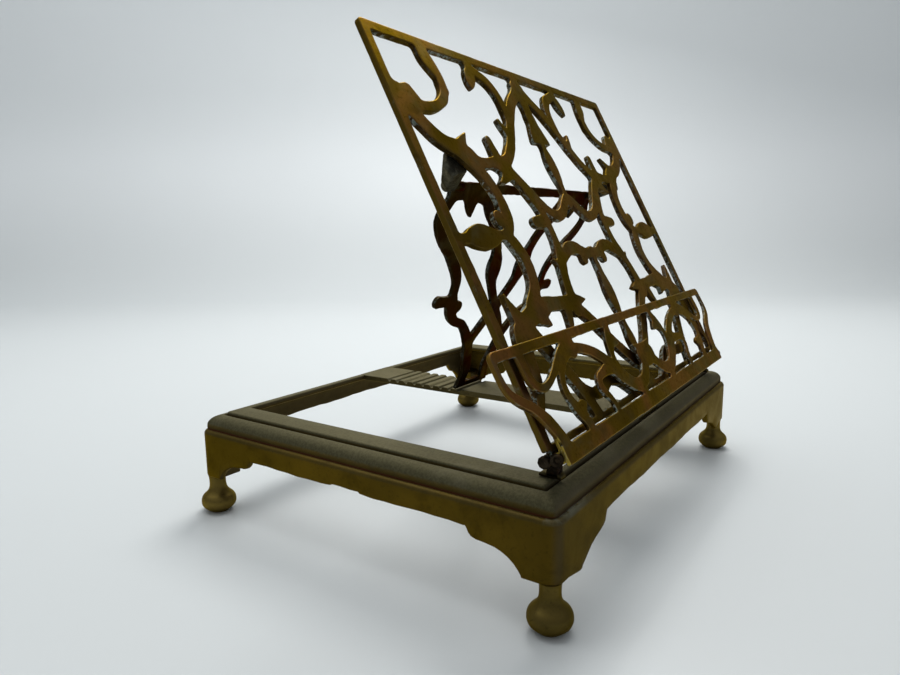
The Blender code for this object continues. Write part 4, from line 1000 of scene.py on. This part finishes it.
# Rings of the base: inset, corner radius, height, then rim wear, painted shade in grooves and under the top
# band, red and pale bloom
LOWER_GROOVE = [(2.25, 4.9, 45.25, 0, 0.5, 0.2, 1.0), (2.45, 4.3, 45.10, 0, 1.0, 1.0, 0.5),
                (2.55, 2.2, 45.5, 0, 1.0, 0.7), (2.6, 1.8, 46.4, 0, 0.5)]
UPPER_GROOVE = [(9.15, 1.2, 52.2, 0.1, 0.3), (9.4, 1.2, 51.6, 0, 1.0), (10.05, 1.2, 51.5, 0, 1.0),
                (10.2, 1.2, 52.6, 0, 0.5), (10.35, 1.2, 53.35, 0.15), (10.7, 1.1, 53.72, 0.2),
                (11.3, 1.0, TOP)]
OPENING_EDGE = [(0.8, TOP, 0.1), (0.25, TOP - 0.2, 0.5), (0.0, TOP - 0.8, 0.2), (0.0, TOP - 2.7),
                (0.5, TOP - 3.1)]
# Under the top band and inside the apron; the fifth column is painted shade.
UNDERSIDE = [(9.0, 1.0, 50.5, 0, 0.4), (6.4, 1.5, 48.8, 0, 0.4), (4.4, 3.0, 45.0, 0, 0.3)]


def make_base():
    rows = []          # (loop, rim wear, painted shade, red, pale bloom)

    def add(loop, rim=0.0, painted_shade=0.0, red=0.0, pale=0.0):
        rows.append((loop, rim, painted_shade, red, pale))

    def between(low, high, t):
        return [(a[0] + (b[0] - a[0]) * t, a[1] + (b[1] - a[1]) * t, a[2] + (b[2] - a[2]) * t)
                for a, b in zip(low, high)]

    def add_rings(table):
        for inset, radius, z, *wear in table:
            add(ring(inset, radius, z), *wear)

    add(ring(1.0, 5.5, edge=0.0), 0.2)
    add(ring(0.3, 6.2, edge=0.25), 0.6)
    low, high = ring(0.0, CORNER, edge=0.9), ring(0.0, CORNER, 43.0)
    for t in (0, 0.3, 0.65, 1):
        add(between(low, high, t), 0.1 if t == 0 else 0.0)
    for k in range(1, 6):
        turn = math.radians(90 * k / 5)
        back, rise = 1 - math.cos(turn), math.sin(turn)
        add(ring(1.9 * back, CORNER - 1.1 * back, 43.0 + 2.3 * rise), 0.2 * rise, pale=0.8 * rise)
    add_rings(LOWER_GROOVE)
    for k in range(1, 10):
        turn = math.radians(90 * k / 9)
        add(ring(8.8 - 6.2 * math.cos(turn), 1.7 - 0.4 * k / 9, 46.9 + 5.5 * math.sin(turn)),
            0.2 if k in (7, 8) else 0.0)
    add_rings(UPPER_GROOVE)
    add(between(rows[-1][0], opening(0.8, TOP), 0.5))
    for shrink, z, *wear in OPENING_EDGE:
        add(opening(shrink, z), *wear)
    add_rings(UNDERSIDE)
    # The apron's inner face, lightly darkened with painted shade.
    low, high = ring(3.4, 3.1, edge=0.9), ring(3.4, 3.1, 43.0)
    for t in (1, 0.5, 0):
        add(between(low, high, t), 0, 0.2)
    add(ring(3.1, 3.4, edge=0.25), 0.3)
    add(ring(2.4, 4.1, edge=0.0), 0.2)

    bm = bmesh.new()
    rim, painted_shade, red, pale = [bm.verts.layers.float.new(key) for key in ("rim", "painted_shade", "red", "pale")]
    grid = []
    for loop, a, b, c, d in rows:
        line = []
        for x, y, z in loop:
            p = Vector((x, y, z))
            drift = noise.noise(p / 24.0) * 0.16 + noise.noise(p / 7.0) * 0.05
            out = Vector((x / HALF_X, y / HALF_Y)).normalized()
            push = min(drift, 0.0) if z < 45.5 else drift * 0.6
            lift = drift * 0.5 if 46 < z < 53.5 else 0
            v = bm.verts.new((x + out.x * push, y + out.y * push, z + lift))
            corner = math.exp(-((x + 116) / 15) ** 2) if y < -HALF_Y + 6 else 0.0
            v[rim], v[painted_shade], v[pale] = a, b, d * corner
            v[red] = c if x < -HALF_X + 4 else 0.3 * c
            line.append(v)
        grid.append(line)
    bridge(bm, grid + grid[:1])
    base = from_bmesh("base_visual", bm, 60)
    for ends in both_sides(OPEN_Y - 3, OPEN_Y + 4.2):
        slot = [(x, y, z) for x in (-14.3, 14.3) for y in ends for z in (TOP - 1.7, TOP + 4)]
        cut(base, block("c", slot, 0.05, 1))
    extra = [base]
    for sx in (-1, 1):
        for sy in (-1, 1):
            corners = [(sx * x, sy * y, z) for x in (114.5, 126.0) for y in (89.6, 100.8)
                       for z in (BOTTOM + 0.05, 31)]
            extra.append(block("boss", corners, 0.8))
    base = join("base_visual", extra)
    shade_smooth(base.data)
    base.data.set_sharp_from_angle(angle=math.radians(50))
    return dress(base, "base", base_brass, "base_brass", "base_frame")


FOOT_X, FOOT_Y = 123.2, 98.2


def make_feet():
    shape = [(0.0, 28.4), (2.2, 28.4), (2.2, 19.95), (4.45, 19.95), (4.5, 19.4), (4.3, 18.4), (4.2, 16.4),
             (4.25, 14.5), (4.5, 13.0), (5.1, 11.6), (6.3, 10.2), (7.7, 8.9), (8.6, 7.4), (8.9, 5.6),
             (8.75, 4.2), (8.1, 2.8), (6.9, 1.6), (5.8, 0.75), (5.2, 0.35), (4.9, 0.05), (4.5, 0.0),
             (0.0, 0.0)]
    for sx in (-1, 1):
        for sy in (-1, 1):
            where = ("front" if sy < 0 else "rear") + ("_left" if sx < 0 else "_right")
            foot = lathe("foot_" + where + "_visual", shape, (sx * FOOT_X, sy * FOOT_Y, 0), "Z", 56, 3)
            for v in foot.data.vertices:
                if v.co.z > 0.0004:
                    p = v.co * 1000
                    k = noise.noise(p / 5.0) * 0.00007
                    v.co.x += k
                    v.co.y -= k
            dress(foot, "base", foot_brass, "foot_brass", "foot_" + where)


RIDGES = 8
RACK_HALF_X = 13.95


def make_rack():
    """A ridged bar, filed by hand, so its ridges are a little uneven."""
    end, lap, first, pitch, depth = OPEN_Y - GAP, OPEN_Y + 3.9, 65.2, 6.6, 1.6
    # one groove and the ridge beyond it: place along the bar, depth below its top
    ridge = [(3.9, depth - 0.1), (3.6, depth), (2.7, depth), (2.4, depth - 0.15), (1.9, 0.2), (1.6, 0.02),
             (-1.2, 0.02), (-1.7, 0.2)]
    top_line = [(lap, TOP - 0.25), (lap - 0.25, TOP), (first + 5.4, TOP), (first + 4.9, TOP - 0.15)]
    for k in range(RIDGES):
        y = first - k * pitch + 0.12 * math.sin(2.1 * k)
        top_line += [(y + along, TOP - down) for along, down in ridge]
    last = first - RIDGES * pitch
    top_line += [(last + 3.9, TOP - depth + 0.1), (last + 3.5, TOP - depth), (last + 2.6, TOP - depth),
                 (last + 1.8, TOP - 0.1), (last + 1.4, TOP), (-lap + 0.25, TOP), (-lap, TOP - 0.25)]
    outline = top_line + [(-lap, TOP - 1.4), (-end, TOP - 1.4), (-end, TOP - 3.2), (end, TOP - 3.2),
                          (end, TOP - 1.4), (lap, TOP - 1.4)]
    bm = bmesh.new()
    stations = [-RACK_HALF_X, -13.7, -9, -4, 0, 4, 9, 13.7, RACK_HALF_X]
    rows = []
    for x in stations:
        tuck = 0.25 if abs(x) == RACK_HALF_X else 0.0
        row = []
        for y, z in outline:
            droop = 0.10 * noise.noise(Vector((x / 6, y / 5, 1.5))) if z > TOP - 1.0 else 0.0
            zz = z + min(droop, 0.0) - (tuck if z > TOP - 0.6 else 0) + (tuck if z < TOP - 3.0 else 0)
            row.append(bm.verts.new((x, y, zz)))
        rows.append(row)
    bridge(bm, rows)
    bm.faces.new(rows[0])
    bm.faces.new(rows[-1][::-1])
    rack = from_bmesh("rack_visual", bm, 28)
    dress(rack, "base", rack_brass, "base_brass", "rack_bar")


def make_hinges():
    """Lugs on the base's front corners, and the blackened pins that hinge plate and ledge."""
    y, z = PLATE_AXIS
    floor = TOP + GAP
    for sx in (-1, 1):
        where = "left" if sx < 0 else "right"
        x0, x1 = sorted(sx * x for x in INNER_KNUCKLE)
        head = coat(tube_x("lug", 2.55, HINGE_BORE, x0, x1, y, z), pin_iron)
        stem = block("lug", [(x, a, b) for x in (x0, x1) for a, b in (
            (y + 2.1, z - 0.9), (y - 1.8, z - 1.2), (y - 1.9, floor + 0.5), (-89.6, floor + 0.5))], 0.3)
        plinth = block("lug", [(x, a, b) for x in (x0, x1) for a, b in (
            (-86.6, floor), (-86.9, floor + 1.3), (-89.4, floor + 2.0), (-94.9, floor + 2.0),
            (-96.0, floor + 1.3), (-96.3, floor))], 0.4)
        # The plinth's near-black brass is painted shade under the barrels.
        pieces = [head, coat(stem, pin_iron), coat(plinth, shadowed_lug_brass)]
        dress(join("hinge_lug_visual_" + where, pieces), "base", None, "base_brass", "hinge_lug_" + where)
        ends = {"plate": ([(0.0, 0.5), (0.8, 0.35), (1.2, 0.0), (2.0, 0.15), (2.5, 0.7), (2.6, 1.5)], 9),
                "ledge": ([(0.0, 1.1), (0.9, 1.1), (1.15, 0.5), (1.5, 0.1), (2.1, 0.0), (2.5, 0.35),
                           (2.6, 1.0)], 32)}
        for label, axis in (("plate", PLATE_AXIS), ("ledge", LEDGE_AXIS)):
            near, far = sx * PIN_NEAR, sx * PIN_FAR
            face, sides = ends[label]
            profile = [(r, far - sx * depth) for r, depth in face]
            profile += [(2.55, far - sx * 1.5), (1.8, far - sx * 1.8), (1.75, far - sx * 3.65),
                        (1.0, far - sx * 3.7), (1.0, near), (0.0, near)]
            pin = lathe("pin", profile, (0, *axis), "X", sides, 1)
            dress(pin, label, pin_iron, "dark_iron", label + "_hinge_pin_" + where)
            pin.name = label + "_pin_visual_" + where


def make_prop_lugs():
    """Rough cast blocks brazed behind the plate."""
    from_foot, from_axis = placer(PLATE[1], PLATE[0]), placer(PLATE[1], PROP[0])
    back = -PLATE[2] - GAP
    for sx in (-1, 1):
        where = "left" if sx < 0 else "right"
        corners = []
        for x, u in ((83.5, 135.6), (93.5, 133.6), (97.4, 139), (92.6, 145), (83.5, 143.4)):
            for w in (back - 0.05, back - 2.4):
                corners.append(from_foot(u, w, sx * x))
        for x in (PROP_HALF_X + 0.8, PROP_HALF_X + 5.0):
            for k in range(8):
                a = math.radians(-80 - 200 * k / 7)
                corners.append(from_axis(2.9 * math.cos(a), 2.9 * math.sin(a), sx * x))
        lug = block("lug", [tuple(c) for c in corners], 0.6)
        remesh = lug.modifiers.new("even", "REMESH")
        remesh.mode = "VOXEL"
        remesh.voxel_size = 0.00045
        bpy.context.view_layer.update()
        bake_modifiers(lug)
        for v in lug.data.vertices:
            p = v.co * 1000
            lump = noise.noise(p / 3.2) * 0.35 + noise.noise(p / 1.2) * 0.12
            v.co += v.normal * (min(lump, 0.05) * MM)
        shade_smooth(lug.data)
        lug.name = "prop_lug_visual_" + where
        dress(lug, "plate", lug_iron, "lug_metal", "prop_lug_" + where)
        far = sx * (PROP_HALF_X + 5.4 + 1.7)
        profile = [(r, far - sx * depth) for r, depth in (
            (0.0, 0.0), (0.9, 0.1), (1.6, 0.5), (1.85, 1.0), (1.8, 1.4), (0.9, 1.45), (0.9, 12.4),
            (0.0, 12.4))]
        pin = lathe("pin", profile, (0, *PROP[0]), "X", 24, 1)
        dress(pin, "plate", pin_iron, "dark_iron", "prop_pin_" + where)
        pin.name = "prop_pin_visual_" + where


make_plate()
make_ledge()
make_prop()
make_base()
make_feet()
make_rack()
make_hinges()
make_prop_lugs()
for node in ("rack_screw_front", "rack_screw_rear", "lug_screw_left", "lug_screw_right"):
    coat(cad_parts[node], pin_iron)


# ------------------------------------------------------------ floor and lights

def studio_surface(name, tone):
    n = Nodes(name)
    cloud = n.noise(1.4, 3, 0.5)
    # Painted light: lighter up the sweep than on the table, for the wall catching more light.
    colour = n.mix(n.ramp(n.split()["Z"], 0.0, 0.35), tone, (0.84, 0.87, 0.88))
    colour = n.paint(colour, (0.5, 0.5, 0.5), n.ramp(cloud, 0.3, 0.7), 0.06)
    n.bump((n.noise(60, 3, 0.5), 0.03, 0.4))
    n.shader.inputs["Specular IOR Level"].default_value = 0.3
    return n.finish(colour, 0.42, 0.0)


STAGE_YAW = 0.605


def make_stage():
    """A pale table that sweeps up into a wall."""
    bm = bmesh.new()
    profile = [(-3.0, 0.0), (0.9, 0.0)]
    for k in range(1, 13):
        turn = math.radians(90 * k / 12)
        profile.append((0.9 + 0.5 * math.sin(turn), 0.5 * (1 - math.cos(turn))))
    profile.append((1.4, 3.0))
    heading = Vector((math.cos(STAGE_YAW), math.sin(STAGE_YAW), 0))
    across = Vector((-heading.y, heading.x, 0))
    rows = []
    for a, z in profile:
        rows.append([bm.verts.new(heading * a + across * b + Vector((0, 0, z))) for b in (-4, 4)])
    for a, b in zip(rows, rows[1:]):
        bm.faces.new((a[0], b[0], b[1], a[1]))
    mesh = bpy.data.meshes.new("stage")
    bm.to_mesh(mesh)
    bm.free()
    shade_smooth(mesh)
    stage = add_object("stage", mesh)
    stage.data.materials.append(studio_surface("pale_table", (0.60, 0.63, 0.635)))


def area_light(name, place, target, size, power, colour=(1, 1, 1)):
    data = bpy.data.lights.new(name, "AREA")
    data.shape = "RECTANGLE"
    data.size, data.size_y = size
    data.energy = power
    data.color = colour
    light = add_object(name, data)
    light.location = place
    light.rotation_euler = (Vector(target) - Vector(place)).to_track_quat("-Z", "Y").to_euler()


def make_camera():
    """Looks down on the stand's front left corner, with angles in radians fitted to the photo."""
    yaw, pitch, roll = 0.6052913, 0.1679317, -0.0122434
    forward = Vector((math.cos(pitch) * math.cos(yaw), math.cos(pitch) * math.sin(yaw), -math.sin(pitch)))
    right = forward.cross(Vector((0, 0, 1))).normalized()
    above = right.cross(forward)
    c, s = math.cos(roll), math.sin(roll)
    right, above = right * c + above * s, above * c - right * s
    data = bpy.data.cameras.new("camera")
    data.sensor_width = 36.0
    data.lens = 26.5086
    data.clip_start = 0.01
    camera = add_object("camera", data)
    matrix = Matrix((right, above, -forward)).transposed().to_4x4()
    matrix.translation = Vector((-0.329766, -0.197355, 0.149591))
    camera.matrix_world = matrix
    bpy.context.scene.camera = camera


def make_world():
    world = bpy.data.worlds.new("studio")
    bpy.context.scene.world = world
    world.use_nodes = True
    tree = world.node_tree
    coord = tree.nodes.new("ShaderNodeTexCoord")
    split = tree.nodes.new("ShaderNodeSeparateXYZ")
    tree.links.new(coord.outputs["Generated"], split.inputs[0])
    ramp = tree.nodes.new("ShaderNodeValToRGB")
    ramp.color_ramp.elements[0].position = 0.30
    ramp.color_ramp.elements[0].color = (0.10, 0.10, 0.095, 1)
    ramp.color_ramp.elements[1].position = 0.85
    ramp.color_ramp.elements[1].color = (0.80, 0.83, 0.86, 1)
    half = tree.nodes.new("ShaderNodeMath")
    half.operation = "MULTIPLY_ADD"
    half.inputs[1].default_value = 0.5
    half.inputs[2].default_value = 0.5
    tree.links.new(split.outputs["Z"], half.inputs[0])
    tree.links.new(half.outputs[0], ramp.inputs[0])
    tree.links.new(ramp.outputs[0], tree.nodes["Background"].inputs[0])
    tree.nodes["Background"].inputs[1].default_value = 0.56


make_stage()
make_world()
area_light("overhead", (0.10, 0.35, 1.10), (0, 0, 0.05), (1.0, 0.8), 3.6, (1.0, 0.99, 0.97))
area_light("key", (0.72, 0.24, 1.12), (0, 0, 0.05), (0.6, 0.6), 10.0, (1.0, 0.99, 0.97))
area_light("window", (-0.6, 1.0, 1.6), (0.4, 1.6, 0.7), (0.8, 0.8), 3.0, (0.93, 0.97, 1.0))
area_light("wall_wash", (0.25, 0.30, 1.9), (1.0, 1.1, 0.6), (1.4, 1.4), 9.0, (0.97, 0.99, 1.0))
make_camera()
bpy.context.scene.view_settings.view_transform = "Standard"
